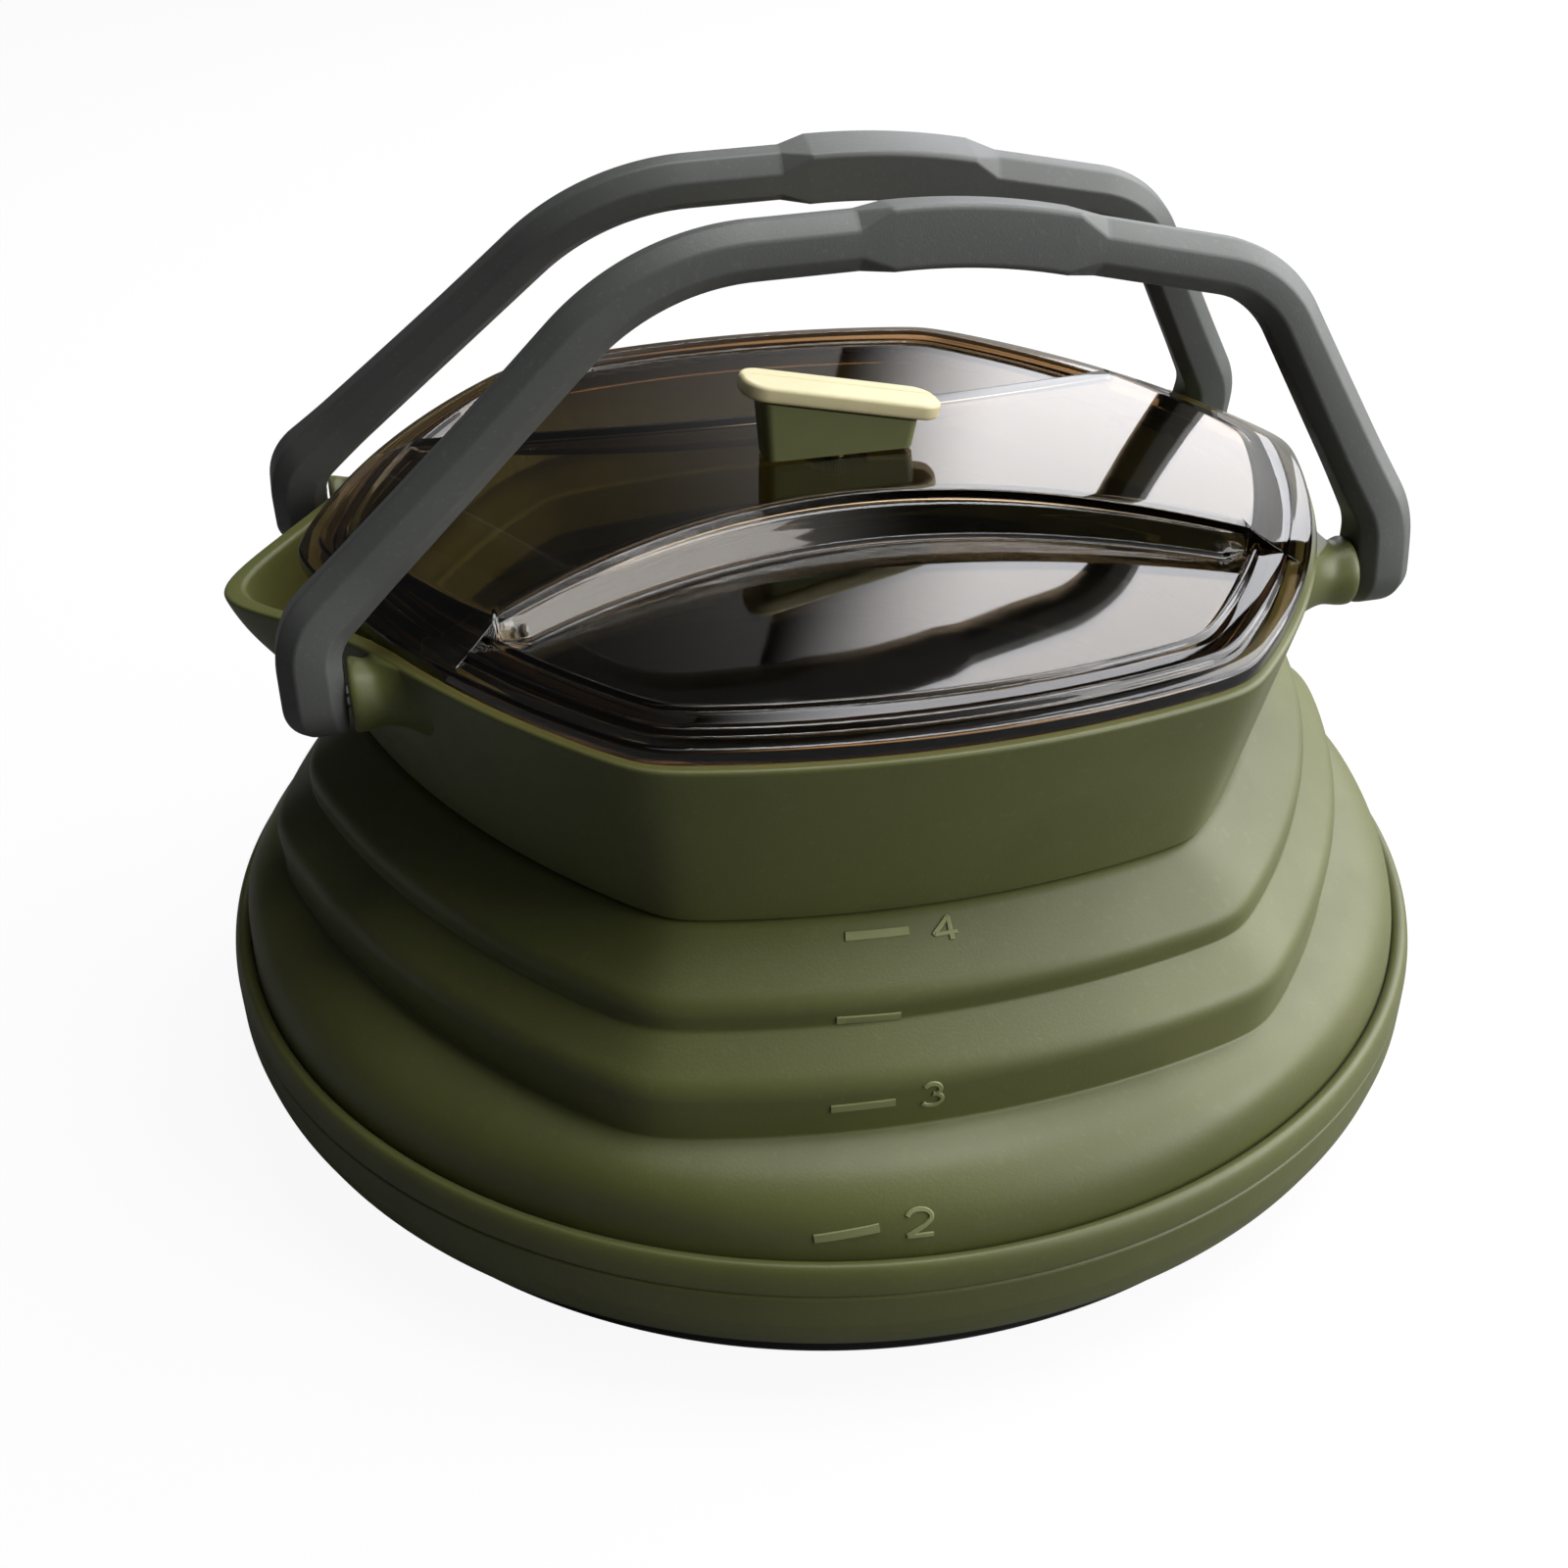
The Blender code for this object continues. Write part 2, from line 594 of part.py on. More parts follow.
def fillet_path(corners, radii):
    """Round the inner corners of a polyline with arcs and return closely spaced points.

    An arc that would run past the next corner's arc is made smaller.
    """
    corners = [np.array(corner) for corner in corners]
    lengths = [np.linalg.norm(stop - start) for start, stop in zip(corners, corners[1:])]
    rooms = [length * MIDDLE_ROOM_SHARE for length in lengths]
    rooms[0] = lengths[0] * END_ROOM_SHARE
    rooms[-1] = lengths[-1] * END_ROOM_SHARE
    points = [corners[0]]
    for i, radius in enumerate(radii):
        corner = corners[i + 1]
        back = (corners[i] - corner) / lengths[i]
        ahead = (corners[i + 2] - corner) / lengths[i + 1]
        half = math.acos(float(np.clip(back @ ahead, -1, 1))) / 2
        radius = min(radius, min(rooms[i], rooms[i + 1]) * math.tan(half))
        tangent = radius / math.tan(half)
        centre = corner + (back + ahead) / np.linalg.norm(back + ahead) * radius / math.sin(half)
        start, stop = corner + back * tangent - centre, corner + ahead * tangent - centre
        sweep = math.pi - 2 * half
        count = max(int(radius * sweep / FINE_STEP), 2)
        for i in range(count + 1):
            share = i / count
            weight = (math.sin((1 - share) * sweep), math.sin(share * sweep))
            points.append(centre + (start * weight[0] + stop * weight[1]) / math.sin(sweep))
    points.append(corners[-1])
    return np.array(points)


def bail_path():
    """Middle line of a bail: two knees, two shoulders and the grip's gentle bend between them."""
    left, right = -PIVOT_X, PIVOT_X
    corners = [
        (left, 0),
        (left, BAIL_HEIGHT * LEFT_KNEE_HEIGHT_SHARE),
        (left * LEFT_SHOULDER_X_SHARE, BAIL_HEIGHT * LEFT_SHOULDER_HEIGHT_SHARE),
        (right * GRIP_CORNER_X_SHARE, BAIL_HEIGHT),
        (right * RIGHT_SHOULDER_X_SHARE, BAIL_HEIGHT * RIGHT_SHOULDER_HEIGHT_SHARE),
        (right, BAIL_HEIGHT * RIGHT_KNEE_HEIGHT_SHARE),
        (right, 0),
    ]
    radii = (LEFT_KNEE_RADIUS, LEFT_SHOULDER_RADIUS, GRIP_CORNER_RADIUS, RIGHT_SHOULDER_RADIUS,
             RIGHT_KNEE_RADIUS)
    return fillet_path(corners, radii)


def smooth(value):
    """Rise from 0 to 1 with level ends."""
    value = min(max(value, 0), 1)
    return value * value * (3 - 2 * value)


def bail_section(from_end, from_grip):
    """Eight corners of a bail's section, as (across the plane's line, out of the plane).

    The outer edges carry wide chamfers, which close up on the grip, where the section also grows.
    """
    grip = smooth((GRIP_LENGTH / 2 - from_grip) / GRIP_RAMP + 0.5)
    flare = smooth(1 - from_end / EYE_FLARE_LENGTH)
    half_width = BAIL_WIDTH / 2 + GRIP_RISE * grip
    half_depth = BAIL_THICKNESS / 2 + (EYE_RADIUS - BAIL_THICKNESS / 2) * flare
    outer = BAIL_OUTER_CHAMFER + (GRIP_EDGE - BAIL_OUTER_CHAMFER) * grip
    inner = BAIL_INNER_CHAMFER
    if from_end < 0:
        share = math.sqrt(max(1 - (from_end / EYE_RADIUS) ** 2, 0))
        half_depth *= share
        half_width -= outer * (1 - share) / 2
        outer *= share
        inner *= share
    return [
        (half_width, half_depth - outer), (half_width, outer - half_depth),
        (half_width - outer, -half_depth), (inner - half_width, -half_depth),
        (-half_width, inner - half_depth), (-half_width, half_depth - inner),
        (inner - half_width, half_depth), (half_width - outer, half_depth),
    ]


def bail_stations(length, grip_at):
    """Distances along the path where sections are set, with the round ends past it."""
    end_shares = (-0.985, -0.9, -0.7, -0.4)
    ends = [EYE_RADIUS * share for share in end_shares]
    count = round(length / PATH_STEP)
    stations = [length * i / count for i in range(count + 1)]
    for edge in (grip_at - GRIP_LENGTH / 2, grip_at + GRIP_LENGTH / 2):
        stations += [edge - GRIP_RAMP / 2, edge, edge + GRIP_RAMP / 2]
    stations += ends + [length - end for end in ends]
    stations.sort()
    kept = [stations[0]]
    for station in stations[1:]:
        if station - kept[-1] > GRIP_RAMP / 8:
            kept.append(station)
    return kept


def make_bail(name, side, tilt, parts, guides, material):
    """One bail handle, leaning in by its tilt, with a blind bore in each end."""
    path = bail_path()
    steps = np.linalg.norm(np.diff(path, axis=0), axis=1)
    along = np.concatenate(([0], np.cumsum(steps)))
    length = along[-1]
    corner = np.array((PIVOT_X * GRIP_CORNER_X_SHARE, BAIL_HEIGHT))
    grip_at = along[np.argmin(np.linalg.norm(path - corner, axis=1))]
    sections = []
    for station in bail_stations(length, grip_at):
        on_path = min(max(station, 0), length)
        point = np.array([np.interp(on_path, along, path[:, k]) for k in (0, 1)])
        ahead = np.array([np.interp(min(on_path + FINE_STEP, length), along, path[:, k]) for k in (0, 1)])
        behind = np.array([np.interp(max(on_path - FINE_STEP, 0), along, path[:, k]) for k in (0, 1)])
        line = (ahead - behind) / np.linalg.norm(ahead - behind)
        point = point + line * (station - on_path)
        outward = np.array((-line[1], line[0]))
        shape = bail_section(min(station, length - station), abs(station - grip_at))
        sections.append([(point[0] + across * outward[0], out, point[1] + across * outward[1])
                         for across, out in shape])
    bail = loft(name, sections, False, parts, material)
    bail.location = (0, side * PIVOT_Y, PIVOT_Z)
    bail.rotation_euler = Euler((side * tilt, 0, 0))
    for end in PIVOT_ENDS.values():
        inner = PIVOT_X - BAIL_WIDTH / 2
        bore = cylinder(f"guide_{name}_bore", (end * (inner - OVERRUN), 0, 0),
                        (end * (inner + EYE_BORE_DEPTH), 0, 0), BUSHING_RADIUS + GAP, guides)
        bore.parent = bail
        combine(bail, bore, "DIFFERENCE")
    return bail


def make_bushings(parts, material):
    """Friction bushing in each end of each bail, round the pin."""
    inner = PIVOT_X - BAIL_WIDTH / 2 + GAP
    for side_name, side in BAIL_SIDES.items():
        for end_name, end in PIVOT_ENDS.items():
            profile = [(BUSHING_BORE_RADIUS, BUSHING_LENGTH), (BUSHING_RADIUS, BUSHING_LENGTH),
                       (BUSHING_RADIUS, 0), (BUSHING_BORE_RADIUS, 0)]
            bushing = turned(f"pivot_bushing_{side_name}_{end_name}", profile, parts, material,
                             steps=SMALL_STEPS)
            bushing.location = (end * inner, side * PIVOT_Y, PIVOT_Z)
            bushing.rotation_euler = Euler((0, end * math.pi / 2, 0))


def crown_height(x):
    """Height of the lid's main panel, which is arched along X."""
    reach = LID_BORDER_APOTHEM / math.cos(math.pi / 6)
    return LID_CROWN - LID_CROWN_RISE * (x / reach) ** 2


def ridge_half_width(x):
    """Half width of the main panel, narrowest in the middle."""
    return RIDGE_HALF_WIDTH + (RIDGE_TIP_HALF_WIDTH - RIDGE_HALF_WIDTH) * (x / RIDGE_TIP_X) ** 2


def panel_prism(name, inset, drop, bottom, low_apothem, guides):
    """Solid under the arched panel: slices along X, each as wide and as high as the panel.

    Its ends slope in from the low apothem to the inner edge of the border.
    """
    reach = low_apothem / math.cos(math.pi / 6)
    sections = []
    for x in np.linspace(-reach, reach, 25):
        half = ridge_half_width(x) - inset
        top = crown_height(x) - drop
        sections.append([(x, -half, bottom), (x, half, bottom), (x, half, top), (x, -half, top)])
    prism = loft(name, sections, False, guides)
    limit = [hexagon_section(apothem, LID_SQUARENESS, height) for apothem, height in
             ((low_apothem, bottom - OVERRUN), (low_apothem, LID_SEAT + LID_BORDER_RISE / 3),
              (LID_BORDER_APOTHEM - inset, LID_CROWN + OVERRUN))]
    combine(prism, loft(name + "_limit", limit, False, guides), "INTERSECT")
    return prism


def make_lid(parts, guides, material):
    """Smoked lid: a stepped border, two sunken crescents and a raised arched panel between them."""
    skirt_outer = stiffener_apothem(STIFFENER_TOP) - STIFFENER_WALL - 2 * GAP - GASKET_WIDTH
    skirt_inner = skirt_outer - LID_SHEET
    top = []
    for inward, up in BORDER_SHARES:
        top.append((LID_EDGE_APOTHEM - LID_BORDER_WIDTH * inward, LID_SEAT + LID_BORDER_RISE * up))
    top.append((LID_BORDER_APOTHEM, LID_BORDER_TOP))
    top.append((LID_BORDER_APOTHEM - LID_RECESS_DROP, LID_FLOOR))
    under = [(skirt_inner, LID_FLOOR - LID_SHEET), (skirt_inner, LID_SEAT - LID_SKIRT_DEPTH),
             (skirt_outer, LID_SEAT - LID_SKIRT_DEPTH), (skirt_outer, LID_SEAT)]
    sections = [hexagon_section(apothem, LID_SQUARENESS, height) for apothem, height in under + top]
    lid = loft("lid_panel", sections, False, parts, material)
    outer = panel_prism("guide_panel", 0, 0, LID_FLOOR - LID_SHEET / 2, LID_BORDER_APOTHEM + LID_RIDGE_RUN,
                        guides)
    combine(lid, outer, "UNION")
    inner = panel_prism("guide_panel_hollow", LID_SHEET, LID_SHEET, LID_FLOOR - LID_SHEET - OVERRUN,
                        LID_BORDER_APOTHEM - LID_SHEET, guides)
    combine(lid, inner, "DIFFERENCE")
    hole = cylinder("guide_screw_hole", (KNOB_OFFSET, 0, LID_FLOOR), (KNOB_OFFSET, 0, LID_CROWN + OVERRUN),
                    SCREW_RADIUS + GAP, guides)
    combine(lid, hole, "DIFFERENCE")
    return lid


def make_gasket(parts, material):
    """Soft ring round the lid's skirt."""
    inner = stiffener_apothem(STIFFENER_TOP) - STIFFENER_WALL - GAP - GASKET_WIDTH
    top = LID_SEAT - GAP
    bottom = top - GASKET_HEIGHT
    lean = COLLAR_TAPER * GASKET_HEIGHT / COLLAR_HEIGHT
    rings = ((inner, bottom), (inner, top), (inner + GASKET_WIDTH - lean, top),
             (inner + GASKET_WIDTH - 2 * lean, bottom))
    sections = [hexagon_section(apothem, LID_SQUARENESS, height) for apothem, height in rings]
    return loft("lid_gasket", sections, True, parts, material)


def stem_top(x):
    """Height of the stem's sloping top, tall on the spout side."""
    share = 0.5 - (x - KNOB_OFFSET) / STEM_LENGTH
    return LID_CROWN + GAP + STEM_SHORT_SIDE + (STEM_TALL_SIDE - STEM_SHORT_SIDE) * share


def make_stem(parts, guides, material):
    """Tapered block under the knob's grip, with a blind hole for the screw."""
    bm = bmesh.new()
    bmesh.ops.create_cube(bm, size=1.0)
    for vert in bm.verts:
        upper = vert.co.z > 0
        flare = STEM_FLARE if upper else 0
        x = KNOB_OFFSET + vert.co.x * (STEM_LENGTH + flare)
        y = vert.co.y * (STEM_WIDTH + flare)
        z = stem_top(x) if upper else LID_CROWN + GAP
        vert.co = Vector((x, y, z))
    stem = add_object("knob_stem", mesh_from_bmesh("knob_stem", bm), parts, material)
    bevel(stem, STEM_EDGE)
    hole = cylinder("guide_stem_hole", (KNOB_OFFSET, 0, LID_CROWN - OVERRUN),
                    (KNOB_OFFSET, 0, LID_CROWN + GAP + SCREW_GRIP_LENGTH + GAP), SCREW_RADIUS + GAP, guides)
    combine(stem, hole, "DIFFERENCE")
    return stem


def make_grip(parts, guides, material):
    """Cream slab on the stem, sloping down away from the spout, with a groove along it."""
    slope = math.atan2(STEM_TALL_SIDE - STEM_SHORT_SIDE, STEM_LENGTH)
    bm = bmesh.new()
    bmesh.ops.create_cube(bm, size=1.0)
    size = Matrix.Diagonal((GRIP_SLAB_LENGTH, GRIP_SLAB_WIDTH, GRIP_SLAB_THICKNESS, 1))
    bmesh.ops.transform(bm, matrix=size, verts=bm.verts)
    upright = [edge for edge in bm.edges if abs(edge.verts[0].co.z - edge.verts[1].co.z) > GRIP_SLAB_EDGE]
    bmesh.ops.bevel(bm, geom=upright, offset=GRIP_SLAB_CORNER, segments=4, profile=0.5, affect="EDGES")
    grip = add_object("knob_grip", mesh_from_bmesh("knob_grip", bm), parts, material)
    lift = (GRIP_SLAB_THICKNESS / 2 + GAP) / math.cos(slope)
    middle = KNOB_OFFSET + GRIP_SLAB_SHIFT
    grip.location = (middle, 0, stem_top(middle) + lift)
    grip.rotation_euler = Euler((0, slope, 0))
    bevel(grip, GRIP_SLAB_EDGE)
    half = GRIP_SLAB_THICKNESS / 2
    y = GRIP_SLAB_WIDTH / 6
    groove = box("guide_groove", (-GRIP_SLAB_LENGTH, y - GROOVE_WIDTH / 2, half - GROOVE_DEPTH),
                 (GRIP_SLAB_LENGTH, y + GROOVE_WIDTH / 2, half + OVERRUN), guides)
    groove.parent = grip
    combine(grip, groove, "DIFFERENCE")
    return grip


def make_fastening(parts, material):
    """Washer and screw that hold the knob from below."""
    ceiling = LID_CROWN - LID_SHEET - GAP
    washer = [(SCREW_RADIUS + GAP, ceiling), (WASHER_RADIUS, ceiling),
              (WASHER_RADIUS, ceiling - WASHER_THICKNESS), (SCREW_RADIUS + GAP, ceiling - WASHER_THICKNESS)]
    washer = turned("knob_washer", washer, parts, material, steps=SMALL_STEPS)
    washer.location.x = KNOB_OFFSET
    seat = ceiling - WASHER_THICKNESS - GAP
    tip = LID_CROWN + GAP + SCREW_GRIP_LENGTH
    screw = [(0, tip), (SCREW_RADIUS, tip), (SCREW_RADIUS, seat), (SCREW_HEAD_RADIUS, seat),
             (SCREW_HEAD_RADIUS, seat - SCREW_HEAD_HEIGHT / 2),
             (SCREW_HEAD_RADIUS / 2, seat - SCREW_HEAD_HEIGHT), (0, seat - SCREW_HEAD_HEIGHT)]
    screw = turned("knob_screw", screw, parts, material, steps=SMALL_STEPS, ring=False)
    screw.location.x = KNOB_OFFSET


def main():
    """Build the kettle."""
    clear_scene()
    parts = new_collection("collapsible_kettle")
    guides = new_collection("guides")
    silicone = new_material("olive_silicone", (88, 94, 56), 0.55)
    anodised = new_material("black_anodised", (24, 24, 24), 0.40, metallic=0.6)
    grey = new_material("grey_nylon", (66, 67, 65), 0.45)
    smoked = new_material("smoked_plastic", (50, 38, 24), 0.08, alpha=0.55)
    cream = new_material("cream_plastic", (232, 226, 190), 0.45)
    steel = new_material("steel", (190, 190, 188), 0.30, metallic=1.0)
    gasket = new_material("black_rubber", (22, 22, 22), 0.60)
    make_pan(parts, anodised)
    make_skirt(parts, silicone)
    make_bead(parts, silicone)
    make_wall(parts, silicone)
    make_collar(parts, guides, silicone)
    make_stiffener(parts, guides, silicone)
    pin_shapes("pivot_pin", PIN_RADIUS, 0, parts, steel)
    make_bail("front_bail", BAIL_SIDES["front"], FRONT_BAIL_TILT, parts, guides, grey)
    make_bail("back_bail", BAIL_SIDES["back"], BACK_BAIL_TILT, parts, guides, grey)
    make_bushings(parts, grey)
    make_lid(parts, guides, smoked)
    make_gasket(parts, gasket)
    make_stem(parts, guides, silicone)
    make_grip(parts, guides, cream)
    make_fastening(parts, steel)


main()
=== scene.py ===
"""Looks of a collapsible camping kettle: an olive folding body, a smoked lid and two grey bails.

Metres, +Z up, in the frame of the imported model. The spout points to -X and the camera looks from
the -Y side. Every piece is a surface worked out on a grid of two parameters, and its object stays
at the origin.
"""

import json
import logging
import math
from dataclasses import dataclass, field
from enum import Enum

import bmesh
import bpy
import numpy as np
from mathutils import Matrix, Vector

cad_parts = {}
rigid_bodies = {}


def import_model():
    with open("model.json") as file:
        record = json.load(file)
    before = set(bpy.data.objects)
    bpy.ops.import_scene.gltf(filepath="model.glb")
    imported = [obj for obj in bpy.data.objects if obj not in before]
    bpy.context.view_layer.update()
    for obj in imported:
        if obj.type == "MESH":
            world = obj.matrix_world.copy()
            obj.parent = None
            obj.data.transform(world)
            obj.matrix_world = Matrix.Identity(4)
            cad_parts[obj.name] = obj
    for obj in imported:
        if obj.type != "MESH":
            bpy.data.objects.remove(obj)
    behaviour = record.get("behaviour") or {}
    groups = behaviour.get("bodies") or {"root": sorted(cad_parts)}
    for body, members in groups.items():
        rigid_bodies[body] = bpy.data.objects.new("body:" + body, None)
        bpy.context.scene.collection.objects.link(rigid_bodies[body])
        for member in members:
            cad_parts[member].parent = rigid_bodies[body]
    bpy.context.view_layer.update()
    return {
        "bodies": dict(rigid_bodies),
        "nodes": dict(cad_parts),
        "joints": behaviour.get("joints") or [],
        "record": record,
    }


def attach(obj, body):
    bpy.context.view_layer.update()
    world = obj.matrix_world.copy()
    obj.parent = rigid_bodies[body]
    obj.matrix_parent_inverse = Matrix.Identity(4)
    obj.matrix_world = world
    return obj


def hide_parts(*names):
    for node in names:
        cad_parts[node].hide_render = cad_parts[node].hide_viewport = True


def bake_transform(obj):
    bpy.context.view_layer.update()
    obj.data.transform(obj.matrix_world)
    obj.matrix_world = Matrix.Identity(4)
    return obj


LOG = logging.getLogger("kettle")
TURN = math.tau
MERGE = 2e-6
TINY = 1e-9
SHARP_DEGREES = 38.0
Array = np.ndarray
RGB = tuple[float, float, float]


class Side(Enum):
    """The two bails, by the side of the kettle that they stand on."""

    FRONT = -1
    BACK = 1


class End(Enum):
    """The two ends of a bail, by the direction along X."""

    SPOUT = -1
    FAR = 1


def linear(red: int, green: int, blue: int) -> RGB:
    """Linear colour of display values from 0 to 255, by the sRGB curve's 2.4 power."""
    return tuple(((value / 255 + 0.055) / 1.055) ** 2.4 for value in (red, green, blue))


def smooth(value: Array | float) -> Array | float:
    """Rise from 0 to 1 with level ends: t * t * (3 - 2 t) of the value held between 0 and 1."""
    share = np.clip(value, 0.0, 1.0)
    return share * share * (3 - 2 * share)


def soften(outline: Array, spread: float, step: float) -> Array:
    """Round the corners of an outline.

    The outline is sampled at even steps of its length, and each point becomes the mean of its
    neighbours, weighed by a bell curve. The ends are held.

    Args:
        outline: Rows of values; the first two are the section's plane and give the length.
        spread: Width of the bell curve, which is about the radius of the rounded corners.
        step: Distance between the samples.

    Returns:
        The sampled and rounded rows.
    """
    along = lengths_along(outline[:, :2])
    even = np.linspace(0, along[-1], max(int(along[-1] / step), 8))
    rows = at_lengths(even, along, outline)
    reach = int(3 * spread / step) + 1
    bell = np.exp(-0.5 * (np.arange(-reach, reach + 1) * step / spread) ** 2)
    bell /= bell.sum()
    before = 2 * rows[0] - rows[reach:0:-1]
    after = 2 * rows[-1] - rows[-2:-reach - 2:-1]
    padded = np.concatenate((before, rows, after))
    return np.stack([np.convolve(column, bell, "valid") for column in padded.T], axis=1)


def thin(rows: Array, turn: float = math.radians(5.0), reach: float = 0.0012) -> Array:
    """Keep few rows of a closely sampled outline: more where it turns.

    The cost of each step is its length over the reach plus its change of direction over the turn,
    and the outline is sampled where the summed cost passes whole numbers.

    Args:
        rows: Rows of values; the first two are the section's plane.
        turn: Change of direction between two kept rows.
        reach: Distance between two kept rows on a straight part.

    Returns:
        The kept rows.
    """
    steps = np.diff(rows[:, :2], axis=0)
    heading = np.unwrap(np.arctan2(steps[:, 1], steps[:, 0]))
    bends = np.abs(np.diff(heading, append=heading[-1]))
    cost = np.concatenate(([0.0], np.cumsum(np.linalg.norm(steps, axis=1) / reach + bends / turn)))
    even = np.linspace(0, cost[-1], int(cost[-1]) + 2)
    return at_lengths(even, cost, rows)


class Skin:
    """Gathers grids of points into one mesh."""

    def __init__(self) -> None:
        """Start with no points."""
        self.points: list[Array] = []
        self.faces: list[list[int]] = []
        self.count = 0

    def grid(self, points: Array, wrap_rows: bool = False, wrap_columns: bool = False,
             caps: bool = False) -> "Skin":
        """Add a grid whose neighbouring points are joined by quads.

        Args:
            points: Array of rows by columns by 3.
            wrap_rows: Join the last row to the first one.
            wrap_columns: Join the last column to the first one.
            caps: Close the first and the last row with a face each.

        Returns:
            This skin.
        """
        rows, columns = points.shape[:2]
        index = np.arange(rows * columns).reshape(rows, columns) + self.count
        if wrap_rows:
            index = np.concatenate((index, index[:1]))
        if wrap_columns:
            index = np.concatenate((index, index[:, :1]), axis=1)
        quads = np.stack((index[:-1, :-1], index[:-1, 1:], index[1:, 1:], index[1:, :-1]), axis=-1)
        self.points.append(points.reshape(-1, 3))
        self.faces += quads.reshape(-1, 4).tolist()
        if caps:
            self.faces += [index[0, :columns][::-1].tolist(), index[-1, :columns].tolist()]
        self.count += rows * columns
        return self

    def build(self, name: str, sharp_degrees: float = SHARP_DEGREES,
              merge: float = MERGE) -> bpy.types.Object:
        """Make the object, with its doubles merged and its faces turned outwards.

        Args:
            name: Name of the piece.
            sharp_degrees: Edges that turn more than this are shaded sharp.
            merge: Points nearer than this become one.

        Returns:
            The new object, linked to the scene.
        """
        mesh = bpy.data.meshes.new(name)
        mesh.from_pydata(np.concatenate(self.points).tolist(), [], self.faces)
        work = bmesh.new()
        work.from_mesh(mesh)
        bmesh.ops.remove_doubles(work, verts=work.verts, dist=merge)
        bmesh.ops.recalc_face_normals(work, faces=work.faces)
        work.to_mesh(mesh)
        work.free()
        mesh.shade_smooth()
        mesh.set_sharp_from_angle(angle=math.radians(sharp_degrees))
        item = bpy.data.objects.new(name, mesh)
        bpy.context.scene.collection.objects.link(item)
        return item


def lengths_along(points: Array) -> Array:
    """Length of a line of points up to each of them, from 0: the running sum of its steps."""
    return np.concatenate(([0.0], np.cumsum(np.linalg.norm(np.diff(points, axis=0), axis=1))))


def at_lengths(wanted: Array, lengths: Array, rows: Array) -> Array:
    """Rows looked up at given lengths, column by column, on the last axis."""
    return np.stack([np.interp(wanted, lengths, column) for column in rows.T], axis=-1)


def around(outline: Array, steps: int) -> Array:
    """Carry an outline round Z: x = r cos(angle), y = r sin(angle).

    Args:
        outline: Rows of (radius, height).
        steps: Points in one turn.

    Returns:
        Points, as rows by steps by 3.
    """
    angles = np.linspace(0, TURN, steps, endpoint=False)
    radii, heights = outline[:, :1], outline[:, 1:2]
    return np.stack((radii * np.cos(angles), radii * np.sin(angles), heights + 0 * angles), axis=-1)


def carve(item: bpy.types.Object, cutters: list[bpy.types.Object]) -> None:
    """Cut shapes out of a piece by exact Booleans and remove the cutters.

    Args:
        item: The piece.
        cutters: Closed shapes that are cut out of it.
    """
    for cutter in cutters:
        boolean = item.modifiers.new("cut", "BOOLEAN")
        boolean.solver = "EXACT"
        boolean.object = cutter
    held = item.evaluated_get(bpy.context.evaluated_depsgraph_get())
    mesh = bpy.data.meshes.new_from_object(held)
    item.modifiers.clear()
    old = item.data
    item.data = mesh
    bpy.data.meshes.remove(old)
    mesh.name = item.name
    for cutter in cutters:
        bpy.data.objects.remove(cutter, do_unlink=True)


def dress(item: bpy.types.Object, material: bpy.types.Material) -> bpy.types.Object:
    """Give a piece one material in its first slot, or in every slot that it has.

    Args:
        item: The piece.
        material: Its material.

    Returns:
        The piece.
    """
    slots = item.data.materials
    if not slots:
        slots.append(material)
    for slot in item.material_slots:
        slot.material = material
    return item


def hand_over(item: bpy.types.Object, material: bpy.types.Material, body: str, node: str) -> bpy.types.Object:
    """Dress a piece and tell the frame what it rides on and what it replaces.

    Args:
        item: The piece.
        material: Its material.
        body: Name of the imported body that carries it.
        node: Name of the CAD node that it stands in for.

    Returns:
        The piece.
    """
    dress(item, material)
    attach(item, body)
    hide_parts(node)
    return item


def rod(start: Array, stop: Array, radius: float, steps: int = 40) -> Array:
    """Round rod: start or stop + r (cos(angle) aside + sin(angle) upward) about its axis.

    Args:
        start: Middle of its first end.
        stop: Middle of its other end.
        radius: Its radius.
        steps: Points in each ring.

    Returns:
        Points, as 2 by steps by 3.
    """
    axis = (stop - start) / np.linalg.norm(stop - start)
    aside = np.cross(axis, (0.0, 0.0, 1.0))
    aside /= np.linalg.norm(aside)
    upward = np.cross(aside, axis)
    angles = np.linspace(0, TURN, steps, endpoint=False)[:, None]
    ring = radius * (np.cos(angles) * aside + np.sin(angles) * upward)
    return np.stack((start + ring, stop + ring))


